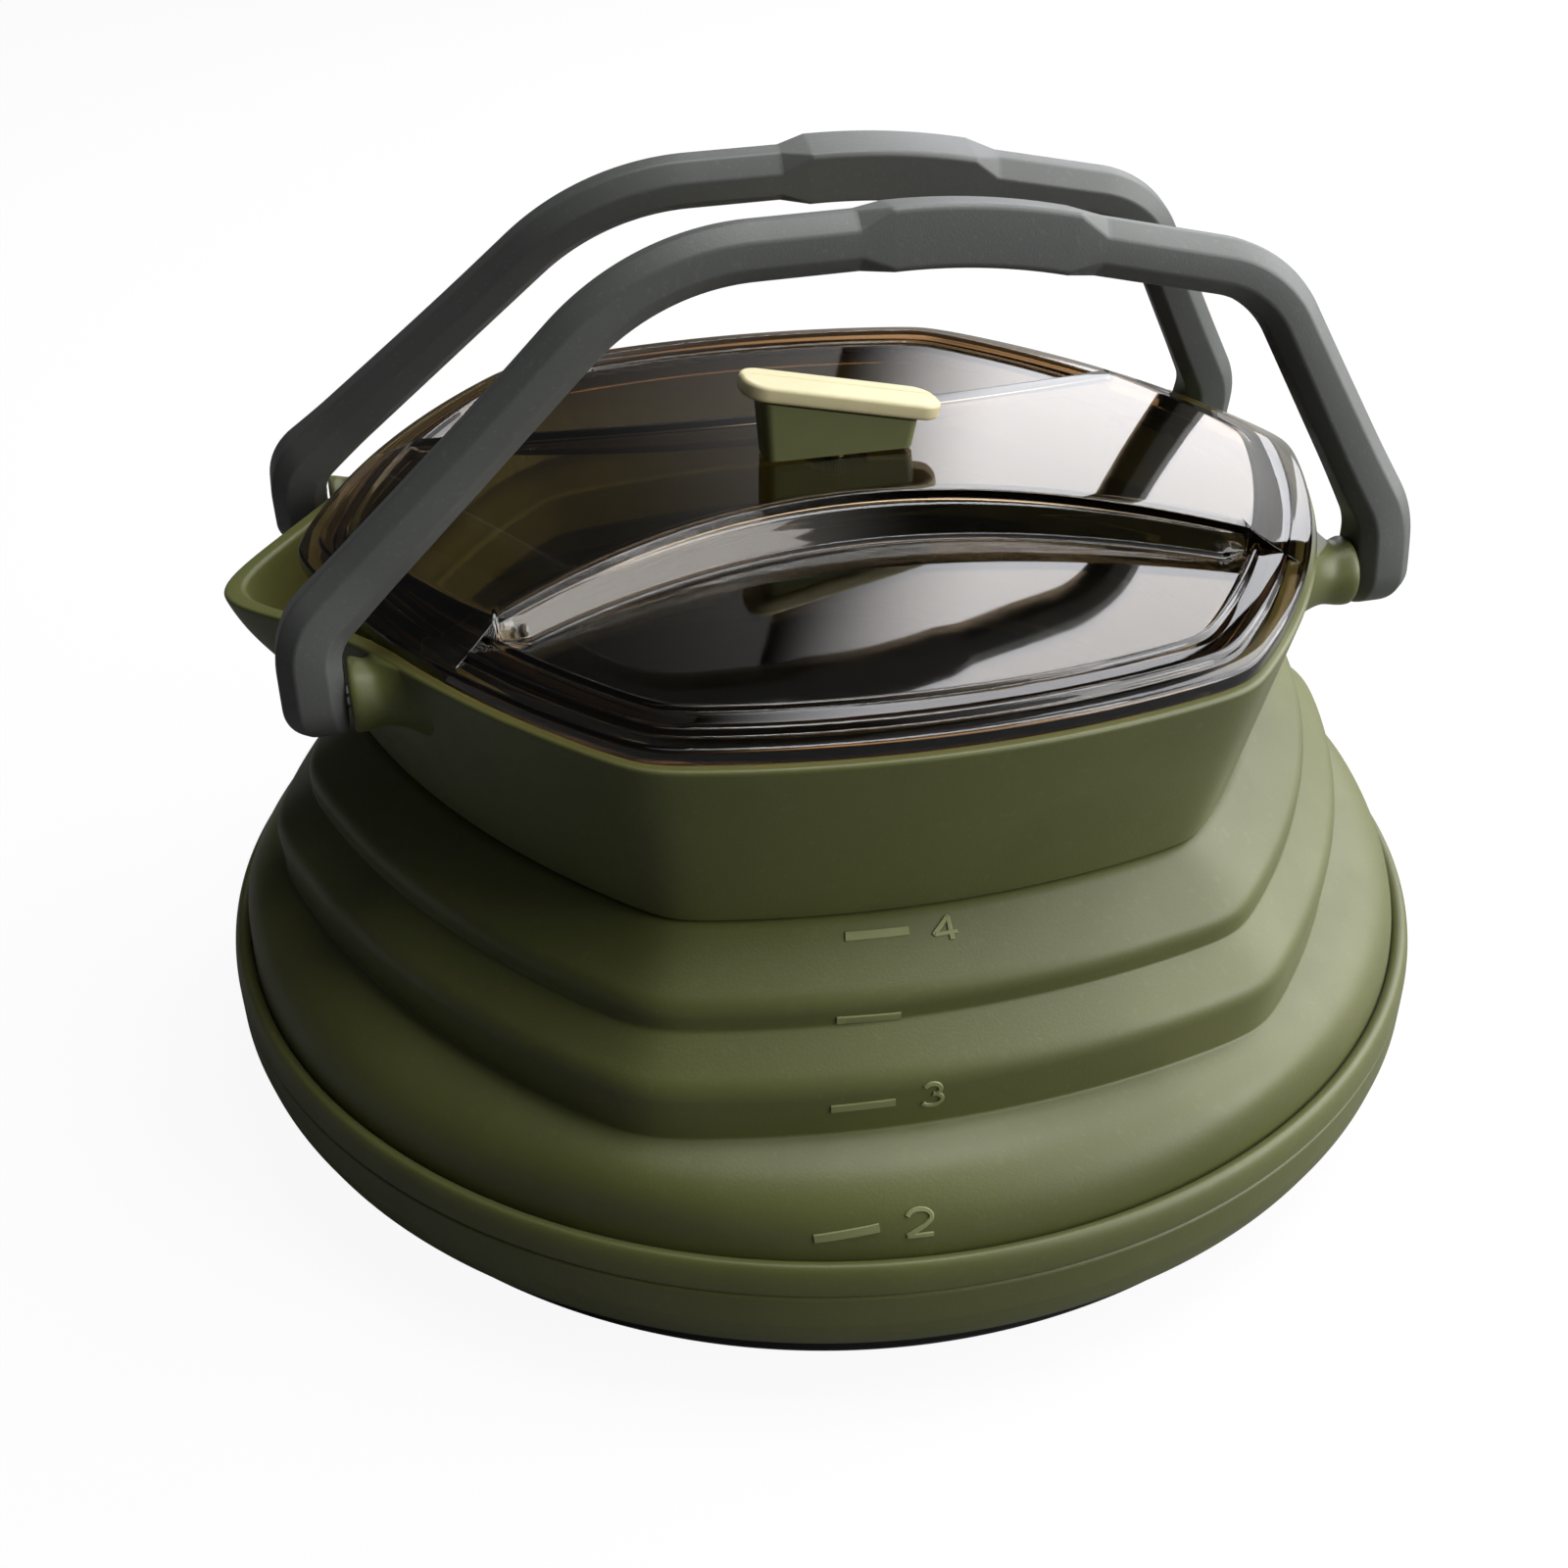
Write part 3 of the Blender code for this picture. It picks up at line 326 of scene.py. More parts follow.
@dataclass(frozen=True)
class KettleForm:
    """Sizes that the sub-assemblies share, and the bulging hexagon that they follow."""

    gap: float = 0.0003
    base_radius: float = 0.0910
    parting: float = 0.0180
    bead_width: float = 0.0027
    bead_crease: float = 0.0212
    crease_2: float = 0.0326
    crease_1: float = 0.0449
    collar_bottom: float = 0.0550
    rim: float = 0.0800
    crease_2_apothem: float = 0.0771
    crease_1_apothem: float = 0.0716
    collar_bottom_apothem: float = 0.0634
    rim_apothem: float = 0.0694
    collar_wall: float = 0.0024
    side_reach: float = 0.064
    crown: float = 0.0884
    pivot_x: float = 0.0716
    pivot_y: float = 0.0290
    pivot_z: float = 0.0750
    bail_width: float = 0.0070
    front_lean: float = math.radians(6.0)
    back_lean: float = math.radians(16.0)

    @staticmethod
    def hexagon(angles: Array, apothem: Array | float, reach: Array | float,
                sharpness: float = 95.0) -> Array:
        """Radius of a hexagon with bulging sides and small round corners, two of them on X.

        Each side is an arc of radius apothem + reach about a point that lies the reach behind the
        axis: side(t) = sqrt((a + e)^2 - (e sin t)^2) - e cos t, at an angle t from the side's
        middle. The nearest three sides are joined by the power mean (sum of (a / side)^n)^(-1/n).
        It is a circle where the reach is 0.

        Args:
            angles: Angles about Z.
            apothem: Distance from the axis to the middle of a side.
            reach: How far behind the axis the centre of a side's arc lies.
            sharpness: The power n, which sets how small the corners' rounding is.

        Returns:
            Radii, in the shape of the broadcast arguments.
        """
        turn = np.mod(angles, TURN / 6) - TURN / 12

        def total(way: Array | float) -> Array:
            """Sum of the three terms at an angle from a side's middle."""
            sides = [np.sqrt((apothem + reach) ** 2 - (reach * np.sin(way + shift)) ** 2)
                     - reach * np.cos(way + shift) for shift in (0, TURN / 6, -TURN / 6)]
            return sum((apothem / side) ** sharpness for side in sides)

        return apothem * (total(turn) / total(0.0)) ** (-1 / sharpness)

    def collar_apothem(self, height: Array | float) -> Array | float:
        """Outer apothem of the collar, on a straight line from its lower edge to its rim."""
        share = (height - self.collar_bottom) / (self.rim - self.collar_bottom)
        return self.collar_bottom_apothem + (self.rim_apothem - self.collar_bottom_apothem) * share

    def rings(self, angles: Array, apothems: Array | float, heights: Array | float,
              reach: Array | float) -> Array:
        """Points of hexagon rings: x = r cos(angle), y = r sin(angle), and the height.

        Args:
            angles: Angles about Z.
            apothems: Distance from the axis to the middle of a side.
            heights: Heights above the ground.
            reach: How far behind the axis the centre of a side's arc lies.

        Returns:
            The points, in the shape of the broadcast arguments with 3 added.
        """
        radii = self.hexagon(angles, apothems, reach)
        return np.stack((radii * np.cos(angles), radii * np.sin(angles), heights + 0 * radii),
                        axis=-1)


class Board:
    """Places and links the nodes of one material or group."""

    def __init__(self, tree: bpy.types.NodeTree) -> None:
        """Take the tree to work in."""
        self.tree = tree

    def feed(self, node: bpy.types.Node, values: dict) -> bpy.types.Node:
        """Fill a node's inputs.

        Args:
            node: The node.
            values: Input name or number to a value, or to a socket that is linked to it.

        Returns:
            The node.
        """
        for name, value in values.items():
            if isinstance(value, bpy.types.NodeSocket):
                self.tree.links.new(value, node.inputs[name])
            else:
                node.inputs[name].default_value = value
        return node

    def add(self, kind: str, values: dict | None = None, **settings) -> bpy.types.Node:
        """Add a node.

        Args:
            kind: Node type, without its ShaderNode start.
            values: Input name or number to a value or a socket.
            settings: Properties of the node.

        Returns:
            The node.
        """
        start = "" if kind.startswith("NodeGroup") else "ShaderNode"
        node = self.tree.nodes.new(start + kind)
        for name, setting in settings.items():
            setattr(node, name, setting)
        return self.feed(node, values or {})

    def math(self, operation: str, first, second=0.0, third=0.0) -> bpy.types.NodeSocket:
        """Result of a Math node; numbers and sockets may be mixed."""
        return self.add("Math", {0: first, 1: second, 2: third}, operation=operation).outputs[0]

    def mix(self, share, first, second) -> bpy.types.NodeSocket:
        """Colour between two colours by a share."""
        return self.add("Mix", {0: share, 6: first, 7: second}, data_type="RGBA").outputs[2]

    def blend(self, share, first, second) -> bpy.types.NodeSocket:
        """Shader between two shaders by a share."""
        return self.add("MixShader", {0: share, 1: first, 2: second}).outputs["Shader"]

    def noise(self, place, scale, detail: float, roughness: float = 0.5) -> bpy.types.NodeSocket:
        """Value of a Noise texture."""
        return self.add("TexNoise", {"Vector": place, "Scale": scale, "Detail": detail,
                                     "Roughness": roughness}).outputs["Fac"]

    def ramp(self, value, span: tuple, ends: tuple = (0.0, 1.0),
             shape: str = "SMOOTHSTEP") -> bpy.types.NodeSocket:
        """Value carried from a span to two ends, and held there."""
        return self.add("MapRange", {"Value": value, "From Min": span[0], "From Max": span[1],
                                     "To Min": ends[0], "To Max": ends[1]},
                        interpolation_type=shape).outputs["Result"]

    def bump(self, height, distance: float, strength: float = 1.0) -> bpy.types.NodeSocket:
        """Normal of a Bump node."""
        return self.add("Bump", {"Height": height, "Distance": distance,
                                 "Strength": strength}).outputs["Normal"]


def new_group(name: str, inputs: dict[str, tuple], outputs: dict[str, str]) -> tuple:
    """Make a shader node group with named sockets.

    Args:
        name: Name of the group.
        inputs: Socket name to its type (Float, Color or Vector) and default value.
        outputs: Socket name to its type.

    Returns:
        The group, its board, its input sockets by name and its output node.
    """
    tree = bpy.data.node_groups.new(name, "ShaderNodeTree")
    for label, (kind, value) in inputs.items():
        socket = tree.interface.new_socket(label, in_out="INPUT", socket_type="NodeSocket" + kind)
        if value is not None:
            socket.default_value = value
    for label, kind in outputs.items():
        tree.interface.new_socket(label, in_out="OUTPUT", socket_type="NodeSocket" + kind)
    board = Board(tree)
    return tree, board, board.add("NodeGroupInput").outputs, board.add("NodeGroupOutput")


def new_material(name: str) -> tuple:
    """Make a material with nodes.

    Args:
        name: Name of the material.

    Returns:
        The material, its board, its Principled BSDF and its output node.
    """
    material = bpy.data.materials.new(name)
    material.use_nodes = True
    nodes = material.node_tree.nodes
    return material, Board(material.node_tree), nodes["Principled BSDF"], nodes["Material Output"]


def moulded_group() -> bpy.types.NodeTree:
    """Group for moulded surfaces: slow colour drift, faint specks, roughness drift, fine grain.

    Returns:
        The group.
    """
    tree, board, given, stop = new_group(
        "moulded_surface",
        {"Vector": ("Vector", None), "Colour": ("Color", (0.5, 0.5, 0.5, 1)),
         "Drift Colour": ("Color", (0.4, 0.4, 0.4, 1)),
         "Speck Colour": ("Color", (0.6, 0.6, 0.6, 1)),
         "Speck Amount": ("Float", 0.1), "Roughness": ("Float", 0.5),
         "Roughness Swing": ("Float", 0.1), "Grain Scale": ("Float", 3000.0)},
        {"Colour": "Color", "Roughness": "Float", "Height": "Float"})
    drift = board.ramp(board.noise(given["Vector"], 34.0, 3.0, 0.55), (0.35, 0.68))
    grain = board.noise(given["Vector"], given["Grain Scale"], 2.0, 0.6)
    speck_scale = board.math("MULTIPLY", given["Grain Scale"], 0.31)
    specks = board.noise(given["Vector"], speck_scale, 1.0)
    speck = board.math("MULTIPLY", board.ramp(specks, (0.62, 0.74), shape="LINEAR"),
                       given["Speck Amount"])
    body = board.mix(drift, given["Colour"], given["Drift Colour"])
    swing = board.math("MULTIPLY_ADD", drift, given["Roughness Swing"], given["Roughness"])
    board.feed(stop, {
        "Colour": board.mix(speck, body, given["Speck Colour"]),
        "Roughness": board.math("MULTIPLY_ADD", board.math("SUBTRACT", grain, 0.5), 0.10, swing),
        "Height": grain})
    return tree


def turned_group() -> bpy.types.NodeTree:
    """Group for turned metal: rings about Z that change the roughness and the height.

    Returns:
        The group.
    """
    tree, board, given, stop = new_group(
        "turned_marks",
        {"Vector": ("Vector", None), "Ring Scale": ("Float", 900.0), "Roughness": ("Float", 0.3),
         "Roughness Swing": ("Float", 0.15)},
        {"Roughness": "Float", "Height": "Float"})
    rings = board.add("TexWave", {"Vector": given["Vector"], "Scale": given["Ring Scale"],
                                  "Distortion": 0.6, "Detail": 2.0, "Detail Scale": 1.5},
                      wave_type="RINGS", rings_direction="Z").outputs["Fac"]
    both = board.math("MULTIPLY", rings, board.noise(given["Vector"], 60.0, 3.0))
    board.feed(stop, {"Roughness": board.math("MULTIPLY_ADD", both, given["Roughness Swing"],
                                              given["Roughness"]), "Height": rings})
    return tree


class Effects:
    """The node groups that the finishes share, each built once."""

    def __init__(self) -> None:
        """Build the groups."""
        self.moulded = moulded_group()
        self.turned = turned_group()


@dataclass(frozen=True)
class MouldedFinish:
    """A moulded plastic or silicone with its own colour, specks, grain and gloss."""

    name: str
    colour: RGB
    drift_colour: RGB
    speck_colour: RGB
    speck_amount: float = 0.15
    roughness: float = 0.5
    roughness_swing: float = 0.08
    grain_scale: float = 3000.0
    grain_depth: float = 0.00003
    specular: float = 0.5
    sheen: float = 0.0
    sheen_roughness: float = 0.4

    def make(self, effects: Effects) -> bpy.types.Material:
        """Build the material.

        Args:
            effects: The shared node groups.

        Returns:
            The material.
        """
        material, board, shader, _ = new_material(self.name)
        skin = board.add("Group", {
            "Vector": board.add("TexCoord").outputs["Object"], "Colour": (*self.colour, 1),
            "Drift Colour": (*self.drift_colour, 1), "Speck Colour": (*self.speck_colour, 1),
            "Speck Amount": self.speck_amount, "Roughness": self.roughness,
            "Roughness Swing": self.roughness_swing, "Grain Scale": self.grain_scale,
        }, node_tree=effects.moulded).outputs
        board.feed(shader, {
            "Base Color": skin["Colour"], "Roughness": skin["Roughness"],
            "Normal": board.bump(skin["Height"], self.grain_depth),
            "Specular IOR Level": self.specular, "Sheen Weight": self.sheen,
            "Sheen Roughness": self.sheen_roughness})
        return material


@dataclass(frozen=True)
class TurnedMetalFinish:
    """A metal with turning marks about Z."""

    name: str
    colour: RGB
    metallic: float
    roughness: float
    roughness_swing: float
    ring_scale: float
    depth: float
    coat: float = 0.0
    coat_roughness: float = 0.12
    cloud_tint: float = 0.8

    def make(self, effects: Effects) -> bpy.types.Material:
        """Build the material.

        Args:
            effects: The shared node groups.

        Returns:
            The material.
        """
        material, board, shader, _ = new_material(self.name)
        place = board.add("TexCoord").outputs["Object"]
        marks = board.add("Group", {
            "Vector": place, "Ring Scale": self.ring_scale, "Roughness": self.roughness,
            "Roughness Swing": self.roughness_swing}, node_tree=effects.turned).outputs
        darker = tuple(self.cloud_tint * value for value in self.colour)
        cloud = board.noise(place, 80.0, 4.0)
        board.feed(shader, {
            "Base Color": board.mix(cloud, (*self.colour, 1), (*darker, 1)),
            "Roughness": marks["Roughness"], "Normal": board.bump(marks["Height"], self.depth),
            "Metallic": self.metallic, "Coat Weight": self.coat,
            "Coat Roughness": self.coat_roughness})
        return material


@dataclass(frozen=True)
class SmokedFinish:
    """Polished see-through plastic with a brown tint and a very faint moulding ripple.

    Light is tinted by how far it goes through the plastic, and hardly at all by its surface.
    """

    name: str = "smoked_plastic"
    tint: RGB = (0.94, 0.92, 0.86)
    depth_tint: RGB = (0.47, 0.32, 0.12)
    depth_density: float = 440.0
    shadow_tint: RGB = (1.0, 0.97, 0.90)
    index: float = 1.58
    roughness: float = 0.022
    smear_roughness: float = 0.02
    smear_tint: float = 0.86
    ripple_depth: float = 0.00012
    ripple_strength: float = 0.14

    def make(self) -> bpy.types.Material:
        """Build the material, whose shadows let tinted light through.

        Returns:
            The material.
        """
        material, board, shader, output = new_material(self.name)
        place = board.add("TexCoord").outputs["Object"]
        ripple = board.noise(place, 55.0, 1.0)
        smear = board.noise(place, 140.0, 4.0, 0.65)
        deep = tuple(self.smear_tint * value for value in self.tint)
        rough = (self.roughness, self.roughness + self.smear_roughness)
        board.feed(shader, {
            "Base Color": board.mix(smear, (*self.tint, 1), (*deep, 1)),
            "Roughness": board.ramp(smear, (0.3, 0.75), rough, "LINEAR"),
            "Normal": board.bump(ripple, self.ripple_depth, self.ripple_strength),
            "Transmission Weight": 1.0, "IOR": self.index})
        clear = board.add("BsdfTransparent", {"Color": (*self.shadow_tint, 1)}).outputs["BSDF"]
        shadow = board.add("LightPath").outputs["Is Shadow Ray"]
        depth = board.add("VolumeAbsorption", {"Color": (*self.depth_tint, 1),
                                               "Density": self.depth_density})
        board.feed(output, {"Surface": board.blend(shadow, shader.outputs["BSDF"], clear),
                            "Volume": depth.outputs["Volume"]})
        return material


class Finishes:
    """All finishes of the kettle."""

    def __init__(self) -> None:
        """Build the materials."""
        effects = Effects()
        self.silicone = MouldedFinish(
            "olive_silicone", linear(89, 92, 48), linear(81, 85, 42), linear(118, 120, 80),
            speck_amount=0.10, roughness=0.42, roughness_swing=0.07, grain_scale=2600.0,
            grain_depth=0.00002, sheen=0.04).make(effects)
        self.mark = MouldedFinish(
            "raised_silicone", linear(128, 133, 88), linear(120, 125, 80), linear(146, 150, 110),
            speck_amount=0.12, roughness=0.50, grain_scale=2600.0, grain_depth=0.00002,
            sheen=0.04).make(effects)
        self.olive = MouldedFinish(
            "olive_plastic", linear(110, 114, 74), linear(102, 107, 68), linear(128, 131, 92),
            speck_amount=0.08, roughness=0.42, grain_scale=3600.0,
            grain_depth=0.00001).make(effects)
        self.nylon = MouldedFinish(
            "grey_nylon", linear(80, 82, 80), linear(74, 76, 74), linear(112, 113, 110),
            speck_amount=0.18, roughness=0.44, roughness_swing=0.06, grain_scale=4200.0,
            grain_depth=0.00002).make(effects)
        self.cream = MouldedFinish(
            "cream_plastic", linear(208, 199, 158), linear(200, 191, 148), linear(224, 218, 188),
            speck_amount=0.10, roughness=0.40, grain_scale=3200.0,
            grain_depth=0.00001).make(effects)
        self.rubber = MouldedFinish(
            "black_rubber", linear(24, 24, 24), linear(20, 20, 20), linear(44, 44, 44),
            speck_amount=0.12, roughness=0.6, grain_scale=3000.0).make(effects)
        self.anodised = TurnedMetalFinish(
            "anodised_pan", linear(30, 30, 31), metallic=0.7, roughness=0.28, roughness_swing=0.16,
            ring_scale=700.0, depth=0.000004, coat=0.2).make(effects)
        self.steel = TurnedMetalFinish(
            "steel", linear(196, 196, 194), metallic=1.0, roughness=0.20, roughness_swing=0.16,
            ring_scale=2400.0, depth=0.000003).make(effects)
        self.smoked = SmokedFinish().make()


@dataclass
class FoldingBase:
    """The metal pan, the rings that clamp it and the wall that folds."""

    form: KettleForm = field(default_factory=KettleForm)
    foot_radius: float = 0.0842
    pan_rim_radius: float = 0.0870
    pan_height: float = 0.0165
    pan_floor: float = 0.0015
    pan_wall: float = 0.0012
    pan_corner: float = 0.0022
    skirt_bottom: float = 0.0082
    skirt_taper: float = 0.0016
    bead_height: float = 0.0043
    parting_gap: float = 0.0001
    bead_crease_drop: float = 0.0003
    wall: float = 0.0016
    sleeve_height: float = 0.0050
    sleeve_wall: float = 0.0012
    crease_softness: float = 0.00022
    edge_softness: float = 0.00014
    outline_step: float = 0.00012
    normal_turn: float = 0.0008
    normal_rise: float = 0.0002
    turn_steps: int = 432
    bead_steps: int = 41
    edge_steps: int = 25
    edge_room: float = 0.9
    upper_edge: tuple[float, float] = (0.0720, 0.0484)
    middle_edge: tuple[float, float] = (0.0776, 0.0402)
    lower_edge: tuple[float, float] = (0.0876, 0.0292)
    upper_rounding: float = 0.0018
    middle_rounding: float = 0.0020
    lower_rounding: float = 0.0075

    def ring(self, outline: Array, name: str) -> bpy.types.Object:
        """Round a closed outline and turn it about Z.

        Args:
            outline: Rows of (radius, height).
            name: Name of the piece.

        Returns:
            The ring.
        """
        rounded = soften(outline, self.edge_softness, self.outline_step)
        return Skin().grid(around(rounded, self.turn_steps), wrap_rows=True,
                           wrap_columns=True).build(name)

    def pan(self) -> bpy.types.Object:
        """Shallow metal pan: a rounded outline of (radius, height) turned about Z.

        Returns:
            The pan.
        """
        inner_foot = self.foot_radius - self.pan_wall
        inner_rim = self.pan_rim_radius - self.pan_wall
        inside = [(0.0, self.pan_floor), (inner_foot - self.pan_corner, self.pan_floor),
                  (inner_foot, self.pan_floor + self.pan_corner / 2),
                  (inner_rim, self.skirt_bottom), (inner_rim, self.pan_height)]
        outside = [(self.pan_rim_radius, self.pan_height), (self.pan_rim_radius, self.skirt_bottom),
                   (self.foot_radius + self.pan_corner / 2, self.pan_corner),
                   (self.foot_radius, self.pan_corner / 3),
                   (self.foot_radius - self.pan_corner / 3, 0.0), (0.0, 0.0)]
        near = soften(np.array(inside), self.edge_softness * 3, self.outline_step * 2)
        far = soften(np.array(outside), self.edge_softness * 2, self.outline_step * 2)
        near[:, 1] = np.maximum(near[:, 1], self.pan_floor)
        far[:, 1] = np.maximum(far[:, 1], 0.0)
        return Skin().grid(around(np.concatenate((near, far)), self.turn_steps),
                           wrap_columns=True).build("pan_shell")

    def skirt(self) -> bpy.types.Object:
        """Ring below the parting line, with a rounded lower edge.

        Returns:
            The ring.
        """
        gap, radius = self.form.gap, self.form.base_radius
        inner, top = self.pan_rim_radius + gap, self.form.parting
        middle = (top + self.skirt_bottom) / 2
        outline = np.array([
            (inner, top), (radius - gap, top), (radius, top - gap), (radius, middle),
            (radius - self.skirt_taper / 3, (middle + self.skirt_bottom) / 2),
            (radius - self.skirt_taper, self.skirt_bottom), (inner, self.skirt_bottom)])
        return self.ring(outline, "skirt_ring")

    def bead(self) -> bpy.types.Object:
        """Rounded ring above the parting line: half an ellipse over a flat foot.

        Returns:
            The ring.
        """
        foot = self.form.parting + self.parting_gap
        top = self.form.parting + self.bead_height
        half = self.form.bead_width / 2
        angles = np.linspace(0, math.pi, self.bead_steps)
        base = np.where(np.cos(angles) > 0, foot, self.form.bead_crease - self.bead_crease_drop)
        radii = self.form.base_radius - half + half * np.cos(angles)
        arc = np.stack((radii, base + (top - base) * np.sin(angles)), axis=1)
        flat = [(radii[-1], foot), (radii[0] - self.parting_gap, foot)]
        return self.ring(np.concatenate((flat, arc[1:])), "bead_ring")

    def tier(self, low: tuple, edge: tuple, high: tuple, rounding: float) -> Array:
        """One terrace: a sloping top and an upright side that meet in a round edge.

        The edge is the curve (1-t)^2 A + 2 t (1-t) E + t^2 B, where A and B lie the rounding away
        from the edge E on the side and on the top.

        Args:
            low: Apothem, height and reach at the lower crease.
            edge: The same where the side and the top would meet.
            high: The same at the upper crease.
            rounding: Distance from the edge to the ends of its curve.

        Returns:
            The rows, from the lower crease up.
        """
        low, edge, high = np.array(low), np.array(edge), np.array(high)
        ends = [edge + (point - edge)
                * min(rounding / np.linalg.norm((point - edge)[:2]), self.edge_room)
                for point in (low, high)]
        t = np.linspace(0, 1, self.edge_steps)[:, None]
        curve = (1 - t) ** 2 * ends[0] + 2 * t * (1 - t) * edge + t ** 2 * ends[1]
        return np.concatenate((low[None, :], curve, high[None, :]))

    def wall_outline(self) -> Array:
        """Outer outline of the folding wall up to the collar: a foot and three terraces.

        Returns:
            Rows of (apothem, height, reach).
        """
        form = self.form
        low, reach = form.base_radius - form.bead_width - self.parting_gap, form.side_reach
        foot = np.array([(low, form.parting + form.gap, 0.0)])
        bottom = (low, form.bead_crease, 0.0)
        second = (form.crease_2_apothem, form.crease_2, reach)
        first = (form.crease_1_apothem, form.crease_1, reach)
        top = (form.collar_bottom_apothem, form.collar_bottom - form.gap, reach)
        lower = self.tier(bottom, (*self.lower_edge, reach / 4), second, self.lower_rounding)
        middle = self.tier(second, (*self.middle_edge, reach), first, self.middle_rounding)
        upper = self.tier(first, (*self.upper_edge, reach), top, self.upper_rounding)
        rows = np.concatenate((foot, lower, middle[1:], upper[1:]))
        return soften(rows, self.crease_softness, self.outline_step)

    def folding_wall(self) -> bpy.types.Object:
        """Folding wall: rings of the outer outline, the collar's sleeve and the inner skin.

        Returns:
            The wall.
        """
        form = self.form
        outer = thin(self.wall_outline())
        sleeve = form.collar_bottom_apothem - form.collar_wall - form.gap
        shoulder = form.collar_bottom - form.gap
        top = form.collar_bottom + self.sleeve_height
        reach = form.side_reach
        neck = np.array([(sleeve, shoulder, reach), (sleeve, top, reach),
                         (sleeve - self.sleeve_wall, top, reach),
                         (sleeve - self.sleeve_wall, shoulder - self.wall, reach)])
        below = outer[outer[:, 1] < shoulder - 2 * form.gap][::-1][::2].copy()
        rise = (below[:, 1] - form.bead_crease) / (form.collar_bottom - form.bead_crease)
        lean = np.clip(rise, 0, 1) / 2
        below[:, 0] -= self.wall
        below[:, 1] = np.maximum(below[:, 1] - self.wall * lean, form.parting + form.gap)
        angles = np.linspace(0, TURN, self.turn_steps, endpoint=False)
        rows = np.concatenate((outer, neck, below))
        points = form.rings(angles[None, :], rows[:, :1], rows[:, 1:2], rows[:, 2:3])
        return Skin().grid(points, wrap_rows=True, wrap_columns=True).build("folding_wall")

    def on_wall(self, angle: Array, along: Array, lift: Array) -> Array:
        """Points on the wall's outer face.

        The outline is looked up by its length, carried to the angle on the rounded hexagon, and
        moved along the face's normal, which is the cross product of two small steps on the face.

        Args:
            angle: Angles about Z.
            along: Lengths up the outline from its foot.
            lift: Heights above the face.

        Returns:
            The points, in the shape of the arguments with 3 added.
        """
        rows = self.wall_outline()
        lengths = lengths_along(rows[:, :2])

        def face(turn: Array, length: Array) -> Array:
            """Point of the face at an angle and a length."""
            apothem, height, reach = (np.interp(length, lengths, column) for column in rows.T)
            return self.form.rings(turn, apothem, height, reach)

        turn, rise = self.normal_turn, self.normal_rise
        aside = face(angle + turn, along) - face(angle - turn, along)
        upward = face(angle, along + rise) - face(angle, along - rise)
        normal = np.cross(aside, upward)
        normal /= np.linalg.norm(normal, axis=-1, keepdims=True)
        return face(angle, along) + normal * lift[..., None]

    def fold(self, item: bpy.types.Object) -> None:
        """Bake a piece's placement into its mesh. The fold, from the bead, which stays, up to the collar's
        foot, is not set up here.
        """
        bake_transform(item)

    def dressed(self, finishes: Finishes) -> list[bpy.types.Object]:
        """Build and dress the pan, the two rings and the wall.

        Args:
            finishes: The kettle's finishes.

        Returns:
            The pieces.
        """
        pan = hand_over(self.pan(), finishes.anodised, "base", "base_pan")
        skirt = hand_over(self.skirt(), finishes.silicone, "base", "base_skirt")
        bead = hand_over(self.bead(), finishes.silicone, "base", "base_bead")
        wall = dress(self.folding_wall(), finishes.silicone)
        self.fold(wall)
        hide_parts("bellows_wall")
        return [pan, skirt, bead, wall]


class Numeral(Enum):
    """The numerals beside the measuring dashes."""

    TWO = "2"
    THREE = "3"
    FOUR = "4"


@dataclass(frozen=True)
class Mark:
    """One raised measuring mark: a dash and, beside it, a numeral drawn with strokes.

    Angles are degrees about Z, and lengths go up the wall's outline from its foot.
    """

    angle: float
    along: float
    rise: float
    numeral: Numeral | None = None
    numeral_angle: float = 0.0
    numeral_along: float = 0.0
    numeral_size: tuple[float, float] = (0.003, 0.003)


